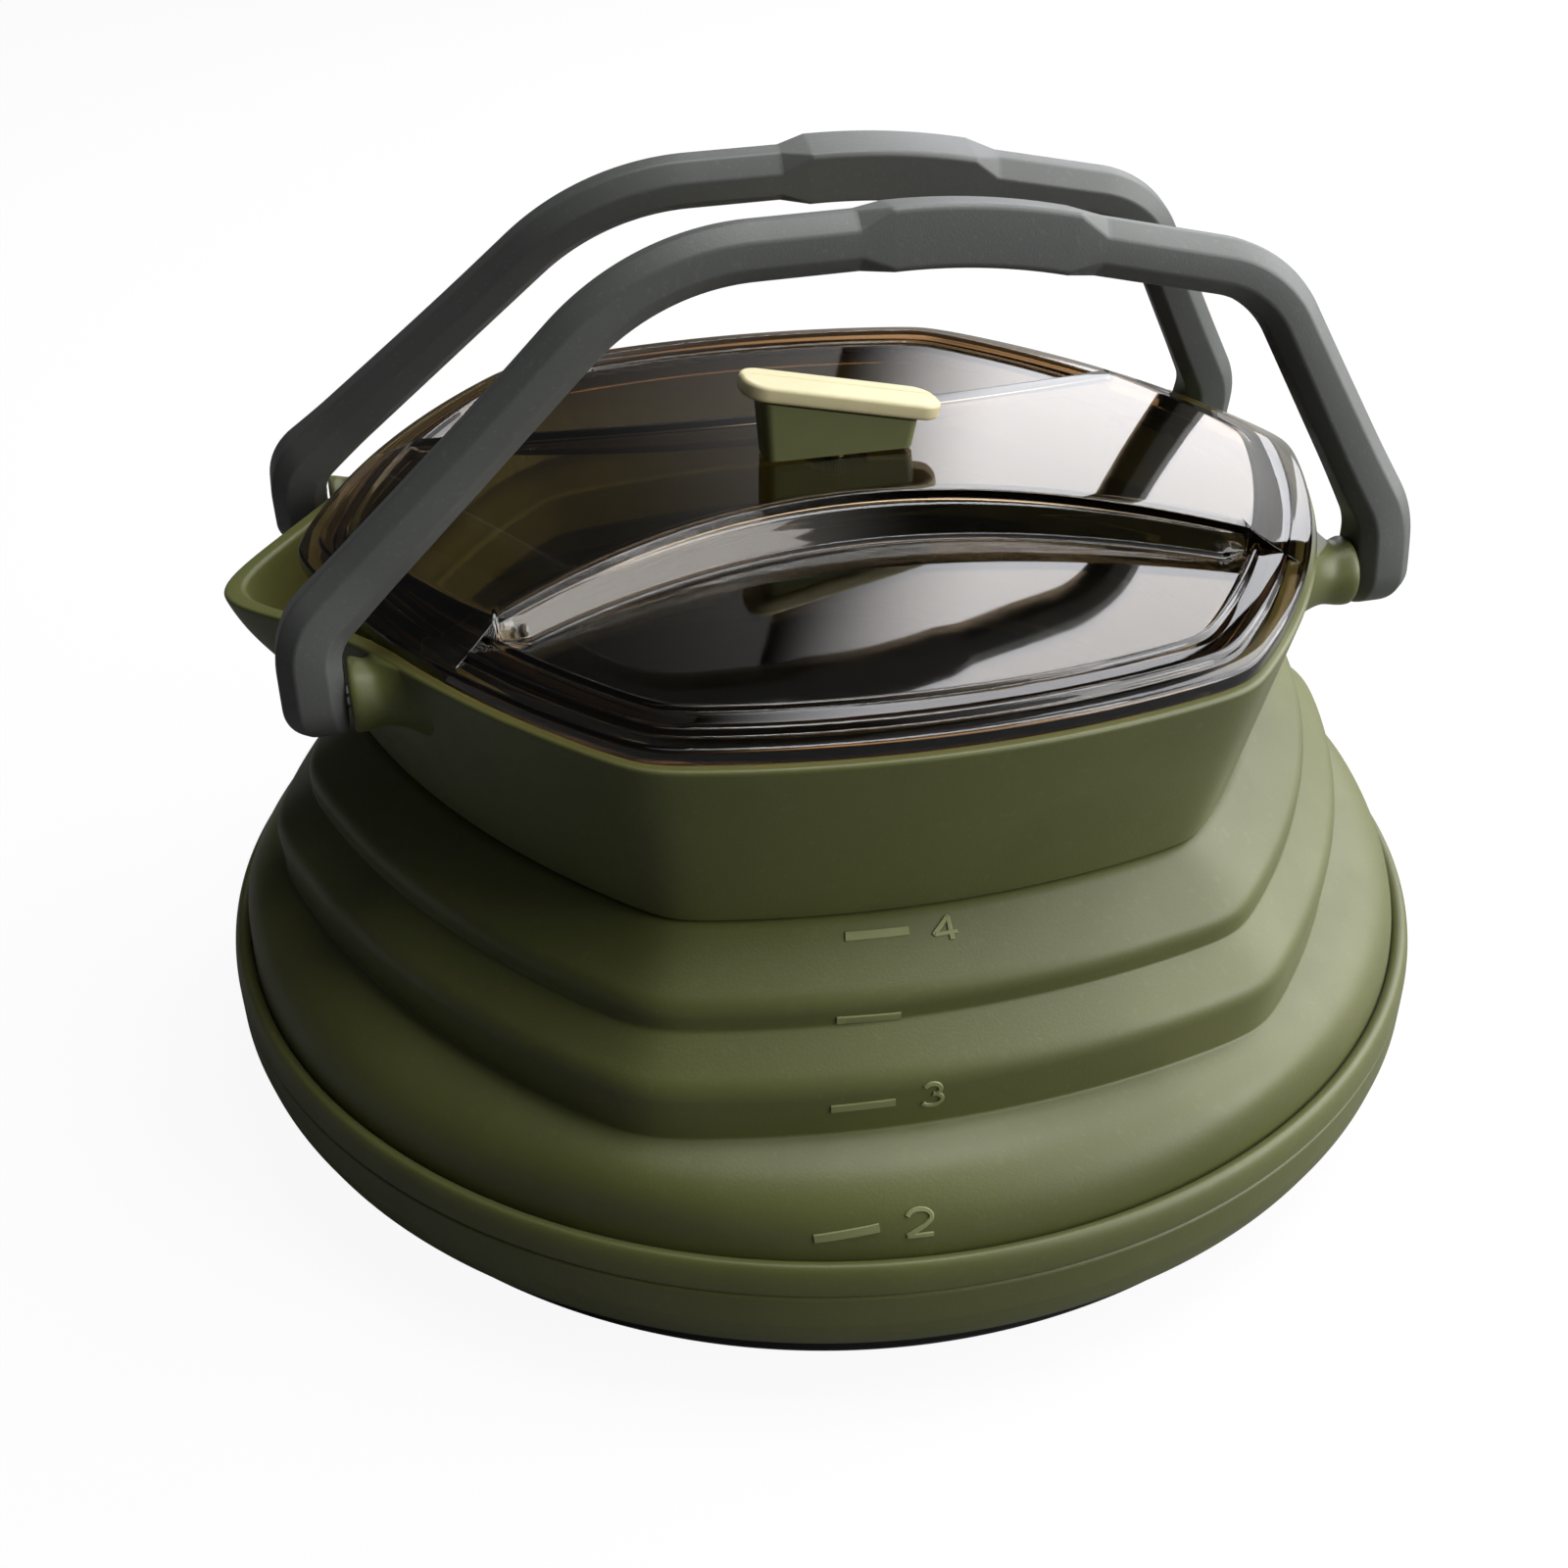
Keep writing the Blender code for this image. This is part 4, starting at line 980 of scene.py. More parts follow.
@dataclass
class MeasuringMarks:
    """The raised dashes and numerals on the folding wall."""

    base: FoldingBase
    dash_length: float = 0.0078
    dash_width: float = 0.0012
    stroke: float = 0.00062
    lift: float = 0.00020
    sink: float = 0.00025
    bevel: float = 0.00010
    path_step: float = 0.00025
    arc_steps: int = 17
    numeral_box: tuple[float, float] = (0.7, 1.0)
    marks: tuple[Mark, ...] = (
        Mark(-98.5, 0.0464, -0.0001, Numeral.FOUR, -91.25, 0.0460, (0.0030, 0.0030)),
        Mark(-99.9, 0.0357, -0.0003),
        Mark(-100.75, 0.02446, 0.0001, Numeral.THREE, -94.5, 0.02495, (0.0029, 0.0035)),
        Mark(-102.5, 0.00715, 0.0012, Numeral.TWO, -96.75, 0.00795, (0.0034, 0.0033)),
    )

    def arc(self, centre: tuple[float, float], radii: tuple[float, float], start: float,
            sweep: float) -> Array:
        """Arc of an ellipse: centre + radii (cos(angle), sin(angle)).

        Args:
            centre: Its centre.
            radii: Its two radii.
            start: First angle in degrees.
            sweep: Degrees from the first angle to the last.

        Returns:
            Rows of (across, up).
        """
        angles = np.radians(start + sweep * np.linspace(0, 1, self.arc_steps))
        return np.array(centre) + np.array(radii) * np.stack((np.cos(angles), np.sin(angles)), 1)

    def stroke_path(self, numeral: Numeral) -> Array:
        """Path of a numeral, drawn in one stroke in the numeral's box.

        The 4 is straight lines, the 3 two arcs that meet at its waist, and the 2 an arc with a
        slant and a foot.

        Args:
            numeral: The numeral.

        Returns:
            Rows of (across, up).
        """
        if numeral is Numeral.FOUR:
            return np.array([(0.50, 0.0), (0.50, 1.0), (0.0, 0.30), (0.70, 0.30)])
        if numeral is Numeral.THREE:
            return np.concatenate((self.arc((0.33, 0.755), (0.25, 0.245), 150, -235),
                                   self.arc((0.33, 0.275), (0.31, 0.275), 85, -240)))
        head = self.arc((0.34, 0.70), (0.31, 0.30), 165, -195)
        return np.concatenate((head, [(0.45, 0.36), (0.02, 0.0), (0.68, 0.0)]))

    def ribbon(self, skin: Skin, path: Array, width: float, angle: float, along: float) -> None:
        """Add one stroke to a skin.

        The stroke is a section of six points, beveled on top and sunk at the foot, carried along
        the path and laid on the wall: across the path by its normal, out of the wall by the height.

        Args:
            skin: The skin that takes it.
            path: Rows of (across, up) in metres.
            width: Width of the stroke.
            angle: Angle about Z of the path's origin.
            along: Length up the wall's outline of the path's origin.
        """
        lengths = lengths_along(path)
        even = np.linspace(0, lengths[-1], max(int(lengths[-1] / self.path_step), 6))
        line = at_lengths(even, lengths, path)
        ahead = np.gradient(line, axis=0)
        ahead /= np.maximum(np.linalg.norm(ahead, axis=1, keepdims=True), TINY)
        aside = np.stack((-ahead[:, 1], ahead[:, 0]), axis=1)
        half = width / 2
        across = np.array([-half, -half, self.bevel - half, half - self.bevel, half, half])
        lift = np.array([-self.sink, self.lift - self.bevel, self.lift, self.lift,
                         self.lift - self.bevel, -self.sink])
        flat = line[:, None, :] + aside[:, None, :] * across[None, :, None]
        spot = self.base.on_wall(np.array([angle]), np.array([along]), np.zeros(1))[0]
        turns = angle + flat[..., 0] / math.hypot(spot[0], spot[1])
        skin.grid(self.base.on_wall(turns, along + flat[..., 1], lift[None, :] + 0 * turns),
                  wrap_columns=True, caps=True)

    def build(self) -> list[bpy.types.Object]:
        """Make the dashes as one piece and each numeral as a piece.

        Returns:
            The pieces.
        """
        dashes = Skin()
        pieces = []
        half = self.dash_length / 2
        box = np.array(self.numeral_box)
        for mark in self.marks:
            dash = np.array([(-half, -mark.rise / 2), (half, mark.rise / 2)])
            self.ribbon(dashes, dash, self.dash_width, math.radians(mark.angle), mark.along)
            if mark.numeral:
                skin = Skin()
                path = (self.stroke_path(mark.numeral) - box / 2) * (mark.numeral_size / box)
                self.ribbon(skin, path, self.stroke, math.radians(mark.numeral_angle),
                            mark.numeral_along)
                pieces.append(skin.build("numeral_" + mark.numeral.value))
        return [dashes.build("level_dashes"), *pieces]

    def dressed(self, finishes: Finishes) -> list[bpy.types.Object]:
        """Build and dress the marks, and bake their placement as the wall's is baked.

        Args:
            finishes: The kettle's finishes.

        Returns:
            The pieces.
        """
        pieces = self.build()
        for piece in pieces:
            dress(piece, finishes.mark)
            self.base.fold(piece)
        return pieces


@dataclass
class PouringCollar:
    """The stiff collar with its spout and pivot bosses."""

    form: KettleForm = field(default_factory=KettleForm)
    edge: float = 0.0007
    lower_edge: float = 0.0005
    spout_reach: float = 0.0094
    spout_depth: float = 0.0215
    spout_half_width: float = 0.0185
    spout_wall: float = 0.0022
    tip_rounding: float = math.radians(5.0)
    spout_droop: float = 0.0026
    spout_blend: float = 26.0
    boss_end_radius: float = 0.0048
    boss_neck_radius: float = 0.0043
    boss_root_radius: float = 0.0070
    boss_edge: float = 0.0009
    boss_edge_depth: float = 0.00054
    boss_lip_share: float = 0.5
    boss_flare_start: float = 0.3
    boss_flare_power: float = 2.4
    turn_steps: int = 420
    face_steps: int = 26
    boss_steps: int = 72
    boss_rows: int = 22
    boss_edge_rows: int = 5
    rounding_rows: int = 7
    crowding: float = 0.25
    least_half_width: float = 1e-6

    def section(self, heights: Array, inset: Array, beak_inset: Array) -> Array:
        """Level rings of the collar with the spout's beak, as rows by angles by 3.

        In plan the beak is two straight lines from the tip back to the collar, in polar form about
        the axis. A high power mean, (h^n + b^n)^(1/n), joins it to the hexagon. Its reach and half
        width shrink down the spout as a circle's quarter does, and its tip droops. The angles crowd
        at the beak by a cubic.

        Args:
            heights: Height of each ring.
            inset: How far each ring's hexagon lies inside the outer face.
            beak_inset: How far each ring's beak lies inside the outer face.

        Returns:
            The points.
        """
        form = self.form
        spread = np.linspace(-1, 1, self.turn_steps, endpoint=False)
        angles = math.pi * (1 + (1 - self.crowding) * spread + self.crowding * spread ** 3)[None, :]
        heights, inset, beak_inset = heights[:, None], inset[:, None], beak_inset[:, None]
        hexagon = form.hexagon(angles, form.collar_apothem(heights) - inset, form.side_reach)
        corner = hexagon.max(axis=1, keepdims=True)
        fall = np.clip((form.rim - heights) / self.spout_depth, 0, 1)
        reach = self.spout_reach * (1 - fall ** 2) - beak_inset
        half_width = self.spout_half_width * np.sqrt(1 - fall ** 2) - beak_inset
        open_rows = (reach > 0) & (half_width > 0)
        half_width = np.maximum(half_width, self.least_half_width)
        root = corner - self.spout_half_width / math.sqrt(3) + inset
        tip = corner + inset + reach
        slope = np.arctan2(half_width, tip - root)
        turn = np.sqrt((angles - math.pi) ** 2 + self.tip_rounding ** 2)
        turn = np.minimum(turn, math.pi - slope - self.tip_rounding)
        blunt = np.sin(slope) / np.sin(slope + self.tip_rounding)
        beak = tip / blunt * np.sin(slope) / np.sin(slope + turn)
        beak = np.where((turn < math.pi / 4) & open_rows, beak, 0)
        radii = (hexagon ** self.spout_blend + beak ** self.spout_blend) ** (1 / self.spout_blend)
        droop = self.spout_droop * (radii - hexagon) / self.spout_reach * (1 - fall)
        return np.stack((radii * np.cos(angles), radii * np.sin(angles), heights - droop), axis=-1)

    def shell(self) -> Skin:
        """Outer face, rounded rim, inner face and rounded lower edge as one closed grid.

        Returns:
            The skin that holds it.
        """
        form = self.form
        turn = np.linspace(0, math.pi / 2, self.rounding_rows)
        rise = np.linspace(0, 1, self.face_steps)[1:-1]
        low, high = form.collar_bottom + self.lower_edge, form.rim - self.edge
        face = low + (high - low) * rise
        foot_in = self.lower_edge * (1 - np.sin(turn))
        foot = form.collar_bottom + self.lower_edge * (1 - np.cos(turn))
        lip_in, lip = self.edge * (1 - np.cos(turn)), high + self.edge * np.sin(turn)
        heights = np.concatenate((foot, face, lip, lip[::-1], face[::-1], foot[::-1]))
        outer = np.concatenate((foot_in, 0 * face, lip_in))
        inner = np.concatenate((form.collar_wall - lip_in[::-1], form.collar_wall + 0 * face,
                                form.collar_wall - foot_in[::-1]))
        beak_inner = inner + self.spout_wall / 4
        points = self.section(heights, np.concatenate((outer, inner)),
                              np.concatenate((outer, beak_inner)))
        return Skin().grid(points, wrap_rows=True, wrap_columns=True)

    def wall_x(self, y: Array, z: Array) -> Array:
        """X of the side next to an X corner: sqrt((a + e)^2 - (|y| + e / 2)^2) - e cos 30."""
        reach = self.form.side_reach
        radius = self.form.collar_apothem(z) + reach
        return np.sqrt(radius ** 2 - (np.abs(y) + reach / 2) ** 2) - reach * math.cos(math.pi / 6)

    def boss(self, skin: Skin, side: Side, end: End) -> None:
        """Add one trumpet-shaped boss.

        About the pivot's axis the radius falls from the end's to the neck's and then rises to the
        root's with a power of the share of the length, so that the boss runs into the wall without
        an edge.

        Args:
            skin: The skin that takes it.
            side: Which bail the boss carries.
            end: Which end of the bail.
        """
        form = self.form
        face = form.pivot_x - form.bail_width / 2 - form.gap
        share = np.linspace(0, 1, self.boss_rows)[:, None]
        ring = np.linspace(0, TURN, self.boss_steps, endpoint=False)[None, :]
        neck, start = self.boss_neck_radius, self.boss_flare_start
        lip_rise = (self.boss_end_radius - neck) * smooth(1 - share / self.boss_lip_share)
        flared = np.clip((share - start) / (1 - start), 0, 1) ** self.boss_flare_power
        radius = neck + lip_rise + (self.boss_root_radius - neck) * flared
        y = side.value * form.pivot_y + radius * np.cos(ring)
        z = np.minimum(form.pivot_z + radius * np.sin(ring), form.rim - form.gap)
        x = face - (face - self.wall_x(y, z)) * share
        sunk = np.stack((x[-1:] - form.collar_wall / 2, y[-1:], z[-1:]), axis=-1)
        bevel = np.linspace(0, math.pi / 2, self.boss_edge_rows, endpoint=False)[:, None]
        lip = self.boss_end_radius - self.boss_edge * (1 - np.sin(bevel))
        lip_x = face + 0 * ring - 0 * bevel
        lip_points = np.stack((lip_x, side.value * form.pivot_y + lip * np.cos(ring),
                               form.pivot_z + lip * np.sin(ring)), axis=-1)
        lip_points[..., 0] -= self.boss_edge_depth * (1 - np.cos(bevel))
        body = np.stack((x - self.boss_edge_depth, y, z), axis=-1)
        points = np.concatenate((lip_points, body[1:], sunk))
        points[..., 0] *= end.value
        skin.grid(points, wrap_columns=True, caps=True)

    def build(self) -> bpy.types.Object:
        """Make the collar with its four bosses."""
        skin = self.shell()
        for side in Side:
            for end in End:
                self.boss(skin, side, end)
        return skin.build("collar_shell")

    def dressed(self, finishes: Finishes) -> list[bpy.types.Object]:
        """Build and dress the collar, which is one piece."""
        return [hand_over(self.build(), finishes.silicone, "collar", "collar_band")]


@dataclass
class BailHandle:
    """One bail: a faceted section carried along its bent path."""

    side: Side
    form: KettleForm = field(default_factory=KettleForm)
    thickness: float = 0.0065
    outer_chamfer: float = 0.0021
    inner_chamfer: float = 0.0018
    grip_edge: float = 0.0005
    grip_rise: float = 0.0003
    grip_length: float = 0.0270
    grip_ramp: float = 0.0040
    eye_radius: float = 0.0047
    eye_flare: float = 0.0200
    eye_widening: float = 0.0009
    outer_tuck: float = 1.2
    inner_tuck: float = 0.25
    widening_length: float = 0.0500
    height: float = 0.05038
    corner_round: float = 0.00035
    short_edge_share: float = 0.4
    corner_steps: int = 5
    cap_start: float = 0.06
    cap_steps: int = 14
    bore_radius: float = 0.0030
    bore_depth: float = 0.0050
    bore_overrun: float = 0.002
    station: float = 0.0007
    direction_step: float = 0.0003
    path_step: float = 0.0002
    sharp_degrees: float = 20.0
    corner_shares: tuple[tuple[float, float], ...] = (
        (-1.0, 0.0), (-1.0, 0.166), (-0.382, 0.985), (0.194, 1.0), (0.737, 0.83), (1.0, 0.155),
        (1.0, 0.0))
    grip_corner: int = 3
    corner_radii: tuple[float, ...] = (0.008, 0.034, 0.090, 0.016, 0.011)
    middle_room: float = 0.48
    end_room: float = 0.92

    def corners(self) -> Array:
        """Corners of the path in the bail's plane, as (x, up)."""
        return np.array(self.corner_shares) * (self.form.pivot_x, self.height)

    def path(self) -> Array:
        """Closely spaced points of the middle line, with an arc at each inner corner.

        An arc that would run past its neighbour's is made smaller. Its points are the two tangent
        points weighed by sin((1 - s) a) and sin(s a), over sin a, about the arc's centre.

        Returns:
            Rows of (x, up).
        """
        corners = self.corners()
        lengths = np.linalg.norm(np.diff(corners, axis=0), axis=1)
        rooms = lengths * self.middle_room
        rooms[[0, -1]] = lengths[[0, -1]] * self.end_room
        pieces = [corners[:1]]
        for i, radius in enumerate(self.corner_radii):
            corner = corners[i + 1]
            back = (corners[i] - corner) / lengths[i]
            ahead = (corners[i + 2] - corner) / lengths[i + 1]
            half = math.acos(float(np.clip(back @ ahead, -1, 1))) / 2
            radius = min(radius, min(rooms[i], rooms[i + 1]) * math.tan(half))
            between = (back + ahead) / np.linalg.norm(back + ahead)
            centre = corner + between * radius / math.sin(half)
            start, stop = (corner + way * radius / math.tan(half) - centre for way in (back, ahead))
            sweep = math.pi - 2 * half
            share = np.linspace(0, 1, max(int(radius * sweep / self.path_step), 2))[:, None]
            mixed = start * np.sin((1 - share) * sweep) + stop * np.sin(share * sweep)
            pieces.append(centre + mixed / math.sin(sweep))
        return np.concatenate(pieces + [corners[-1:]])

    def outline(self, from_end: Array, from_grip: Array) -> Array:
        """Eight corners of the section at each station, as stations by 8 by (across, out).

        The outer edges carry wide chamfers that close on the grip by a straight ramp. Past a pivot
        the section shrinks as a circle does, which rounds the eye.

        Args:
            from_end: Distance along the path from the nearer pivot, negative past it.
            from_grip: Distance along the path from the middle of the grip.

        Returns:
            The corners.
        """
        grip = np.clip((self.grip_length / 2 - from_grip) / self.grip_ramp + 0.5, 0, 1)
        flare = smooth(1 - from_end / self.eye_flare)
        across = self.form.bail_width / 2 + self.grip_rise * grip
        out = self.thickness / 2 + (self.eye_radius - self.thickness / 2) * flare
        outer = self.outer_chamfer + (self.grip_edge - self.outer_chamfer) * grip
        inner = self.inner_chamfer + (self.grip_edge - self.inner_chamfer) * grip
        share = np.sqrt(np.clip(1 - (np.minimum(from_end, 0) / self.eye_radius) ** 2, 0, 1))
        wide = across + self.eye_widening * smooth(1 - from_end / self.widening_length)
        wide = wide - self.outer_tuck * across * (1 - share)
        across = across - self.inner_tuck * across * (1 - share)
        out, outer, inner = out * share, outer * share, inner * share
        shape = [(wide, out - outer), (wide, outer - out), (wide - outer, -out),
                 (inner - across, -out), (-across, inner - out), (-across, out - inner),
                 (inner - across, out), (wide - outer, out)]
        return np.stack([np.stack(corner, axis=-1) for corner in shape], axis=1)

    def rounded(self, shape: Array) -> Array:
        """Replace each corner C by a small curve: (1-t)^2 A + 2 t (1-t) C + t^2 B.

        A and B lie on the corner's two edges, the corner's rounding away from it or, on a short
        edge, two fifths of its length.

        Args:
            shape: Corners of the section at each station.

        Returns:
            Points of the rounded section at each station.
        """
        ends = []
        for way in (1, -1):
            edge = np.roll(shape, way, axis=1) - shape
            length = np.linalg.norm(edge, axis=-1, keepdims=True)
            reach = np.minimum(self.corner_round, length * self.short_edge_share)
            ends.append(shape + edge / np.maximum(length, TINY) * reach)
        curve = [(1 - t) ** 2 * ends[0] + 2 * t * (1 - t) * shape + t ** 2 * ends[1]
                 for t in np.linspace(0, 1, self.corner_steps)]
        return np.stack(curve, axis=2).reshape(len(shape), -1, 2)

    def place(self, points: Array) -> Array:
        """Turn points of the bail's plane by its lean about X and move them to the pivots.

        Args:
            points: Points with the pivots' axis through the origin.

        Returns:
            The points in their place.
        """
        form = self.form
        lean = form.back_lean if self.side is Side.BACK else -form.front_lean
        x, y, z = points[..., 0], points[..., 1], points[..., 2]
        turned = np.stack((x, y * math.cos(lean) - z * math.sin(lean),
                           y * math.sin(lean) + z * math.cos(lean)), axis=-1)
        return turned + np.array([0, self.side.value * form.pivot_y, form.pivot_z])

    def bores(self) -> list[bpy.types.Object]:
        """Cutters for the two blind bores, from inside the bail into its eyes.

        Returns:
            The cutters.
        """
        inner = self.form.pivot_x - self.form.bail_width / 2
        cutters = []
        for end in End:
            ends = np.array([[end.value * (inner - self.bore_overrun), 0, 0],
                             [end.value * (inner + self.bore_depth), 0, 0]])
            start, stop = self.place(ends)
            cutters.append(Skin().grid(rod(start, stop, self.bore_radius), wrap_columns=True,
                                       caps=True).build("cutter"))
        return cutters

    def build(self, name: str) -> bpy.types.Object:
        """Carry the section along the path, close its ends and cut the two blind bores.

        Args:
            name: Name of the piece.

        Returns:
            The bail.
        """
        path = self.path()
        lengths = lengths_along(path)
        total = lengths[-1]
        grip_corner = self.corners()[self.grip_corner]
        grip_at = lengths[np.argmin(np.linalg.norm(path - grip_corner, axis=1))]
        body = np.arange(0, total, self.station)
        turn = np.linspace(self.cap_start, math.pi / 2, self.cap_steps)
        cap = -self.eye_radius * np.cos(turn)[:-1]
        edges = [grip_at + way * (self.grip_length / 2 + shift * self.grip_ramp)
                 for way in (-1, 1) for shift in (-0.5, 0.5)]
        stations = np.sort(np.concatenate((cap, body, total - cap, [total], edges)))
        on_path = np.clip(stations, 0, total)
        spot = at_lengths(on_path, lengths, path)
        ahead, behind = (at_lengths(np.clip(on_path + step, 0, total), lengths, path)
                         for step in (self.direction_step, -self.direction_step))
        line = (ahead - behind) / np.linalg.norm(ahead - behind, axis=1, keepdims=True)
        spot = spot + line * (stations - on_path)[:, None]
        outward = np.stack((-line[:, 1], line[:, 0]), axis=1)
        shape = self.rounded(self.outline(np.minimum(stations, total - stations),
                                          np.abs(stations - grip_at)))
        across, out = shape[..., 0], shape[..., 1]
        points = np.stack((spot[:, :1] + across * outward[:, :1], out,
                           spot[:, 1:] + across * outward[:, 1:]), axis=-1)
        item = Skin().grid(self.place(points), wrap_columns=True,
                           caps=True).build(name, self.sharp_degrees)
        carve(item, self.bores())
        item.data.set_sharp_from_angle(angle=math.radians(self.sharp_degrees))
        return item

    def dressed(self, finishes: Finishes) -> list[bpy.types.Object]:
        """Build and dress the bail, which is one piece on its own body."""
        side = self.side.name.lower()
        return [hand_over(self.build(f"{side}_bail_shell"), finishes.nylon, f"{side}_handle",
                          f"{side}_bail")]


@dataclass(frozen=True)
class LidFace:
    """The top face or the underside of the lid's middle.

    Its outline is the section from the panel's edge down to the crescent's floor. The inset and
    the drop say how far it lies inside and below the top face, and the apothem is that of the
    border's inner edge on it.
    """

    outline: Array
    inset: float
    drop: float
    apothem: float


@dataclass
class SmokedLid:
    """The see-through lid: a stepped border, two sunken crescents and a raised arched panel."""

    form: KettleForm = field(default_factory=KettleForm)
    edge_apothem: float = 0.0683
    seat: float = 0.0803
    inner_apothem: float = 0.0602
    floor: float = 0.0827
    crown_rise: float = 0.0050
    crown_reach: float = 0.0723
    sheet: float = 0.0018
    skirt_depth: float = 0.0036
    skirt_outer: float = 0.0632
    skirt_inner: float = 0.0614
    ridge_half_width: float = 0.0158
    front_tip_half_width: float = 0.0375
    back_tip_half_width: float = 0.0262
    ridge_tip_x: float = 0.0530
    ridge_foot_apothem: float = 0.0668
    ridge_foot_height: float = 0.0825
    bevel: float = 0.00012
    bevel_ramp: float = 0.0005
    bevel_share: float = 0.4
    bevel_rows: int = 4
    fit_room: float = 0.0085
    softness: float = 0.00014
    outline_step: float = 0.00005
    top_turn: float = math.radians(11)
    under_turn: float = math.radians(15)
    ridge_power: float = 0.85
    tip_range: tuple[float, float] = (0.3, 1.2)
    tip_samples: int = 2000
    end_columns: int = 60
    side_columns: int = 140
    panel_rows: int = 13
    floor_rows: int = 14
    sharp_degrees: float = 35.0
    merge: float = 4e-6
    border_steps: tuple[tuple[float, float], ...] = (
        (0.06830, 0.08192), (0.06800, 0.08222), (0.06770, 0.08230), (0.06560, 0.08250),
        (0.06548, 0.08300), (0.06518, 0.08328), (0.06480, 0.08336), (0.06190, 0.08352),
        (0.06180, 0.08384), (0.06150, 0.08410), (0.06110, 0.08410), (0.06080, 0.08330))
    crescent_steps: tuple[tuple[float, float], ...] = (
        (-0.0004, 0.0), (0.0, 0.00002), (0.00012, 0.00175), (0.00060, 0.00192),
        (0.00150, 0.00330), (0.00290, 0.00490), (0.00310, 0.00520), (0.00420, 0.00548))
    crescent_floor: tuple[float, float] = (0.00435, 0.00500)
    under_steps: tuple[tuple[float, float], ...] = (
        (-0.0004, 0.0), (0.0, 0.0001), (0.00070, 0.00130), (0.00380, 0.00520))
    under_floor: tuple[float, float] = (0.00480, 0.00520)

    def crown_height(self, x: Array) -> Array:
        """Height of the arched panel: crown - rise (x / reach)^2."""
        return self.form.crown - self.crown_rise * (x / self.crown_reach) ** 2

    def half_width(self, x: Array, side: Side) -> Array:
        """Half width of the arched panel: middle + (tip - middle)(x / tip x)^2."""
        tip = self.front_tip_half_width if side is Side.FRONT else self.back_tip_half_width
        return self.ridge_half_width + (tip - self.ridge_half_width) * (x / self.ridge_tip_x) ** 2

    def border_outline(self) -> Array:
        """Stepped top of the border from its outer edge to the floor, as (apothem, height)."""
        corners = np.array([(self.edge_apothem, self.seat), *self.border_steps,
                            (self.inner_apothem, self.floor)])
        return thin(soften(corners, self.softness, self.outline_step), self.top_turn)

    def section(self, steps: tuple, floor: tuple[float, float], spread: float,
                turn: float) -> Array:
        """Section from the panel's edge down to the crescent's floor, at full depth.

        Args:
            steps: Corners from the panel's edge down, as (out, drop).
            floor: Where the floor starts and ends, as two distances out.
            spread: Rounding of the corners.
            turn: Change of direction between two rows.

        Returns:
            Rows of (out, drop).
        """
        depth = self.form.crown - self.floor
        corners = np.array([*steps, *((out, depth) for out in floor)])
        return thin(soften(corners, spread, self.outline_step), turn)

    def faces(self) -> tuple[LidFace, LidFace]:
        """The top face and, one sheet thickness away, the underside."""
        top = self.section(self.crescent_steps, self.crescent_floor, self.softness, self.top_turn)
        under = self.section(self.under_steps, self.under_floor, self.softness * 3, self.under_turn)
        return (LidFace(top, 0.0, 0.0, self.inner_apothem),
                LidFace(under, self.sheet, self.sheet, self.skirt_inner))

    def tip_angles(self, apothems: Array, side: Side) -> Array:
        """Angle at which the ridge's side line crosses a hexagon, by interpolation to zero.

        Args:
            apothems: Apothem of each hexagon, held at the ridge's foot.
            side: Which of the ridge's sides.

        Returns:
            An angle for each apothem.
        """
        angles = np.linspace(*self.tip_range, self.tip_samples)
        found = []
        for apothem in np.minimum(apothems, self.ridge_foot_apothem):
            radii = self.form.hexagon(angles, apothem, self.form.side_reach)
            over = radii * np.sin(angles) - self.half_width(radii * np.cos(angles), side)
            found.append(np.interp(0.0, over, angles))
        return np.array(found)

    def sectors(self, tips: Array) -> tuple[Array, Array]:
        """Angles of the columns at the far end and along the back, which meet at the ridge's tip.

        Args:
            tips: Tip angle of each row.

        Returns:
            Rows by columns of angles for both sectors.
        """
        share = np.linspace(0, 1, self.end_columns)[None, :]
        part = np.linspace(0, 1, self.side_columns)[None, :]
        tips = np.atleast_1d(tips)[:, None]
        return tips * share, tips + (math.pi - 2 * tips) * part

    def columns(self, tip: float) -> Array:
        """Angles of the middle's columns, from the far end past both of the ridge's tips."""
        far, along = (angles[0] for angles in self.sectors(np.array([tip])))
        return np.concatenate((far, along[1:-1], math.pi - far[::-1]))

    def points_at(self, angles: Array, apothems: Array, heights: Array) -> Array:
        """Points of hexagon rings that bulge as the collar does."""
        return self.form.rings(angles, apothems, heights, self.form.side_reach)

    @staticmethod
    def lay(skin: Skin, points: Array, side: Side, both_ends: bool = False) -> None:
        """Add a grid on one side of the lid and, if asked, its mirror image at the other end."""
        for way in (1, -1) if both_ends else (1,):
            skin.grid(points * np.array([way, side.value, 1]))

    def raised(self, apothems: Array, angles: Array, low: Array) -> Array:
        """Heights over the border at the panel's ends.

        The higher of the border and a line that falls from the panel's edge to the ridge's foot
        with a power of the share.

        Args:
            apothems: Apothem of each row.
            angles: Rows by columns of angles.
            low: Height of the border at each row.

        Returns:
            Rows by columns of heights.
        """
        edge = self.form.hexagon(angles, self.inner_apothem, self.form.side_reach)
        panel = self.crown_height(edge * np.cos(angles))
        share = (apothems - self.inner_apothem) / (self.ridge_foot_apothem - self.inner_apothem)
        fall = np.clip(share, 0, 1)[:, None] ** self.ridge_power
        line = panel + (self.ridge_foot_height - panel) * fall
        return np.where(share[:, None] < 1, np.maximum(low[:, None], line), low[:, None])

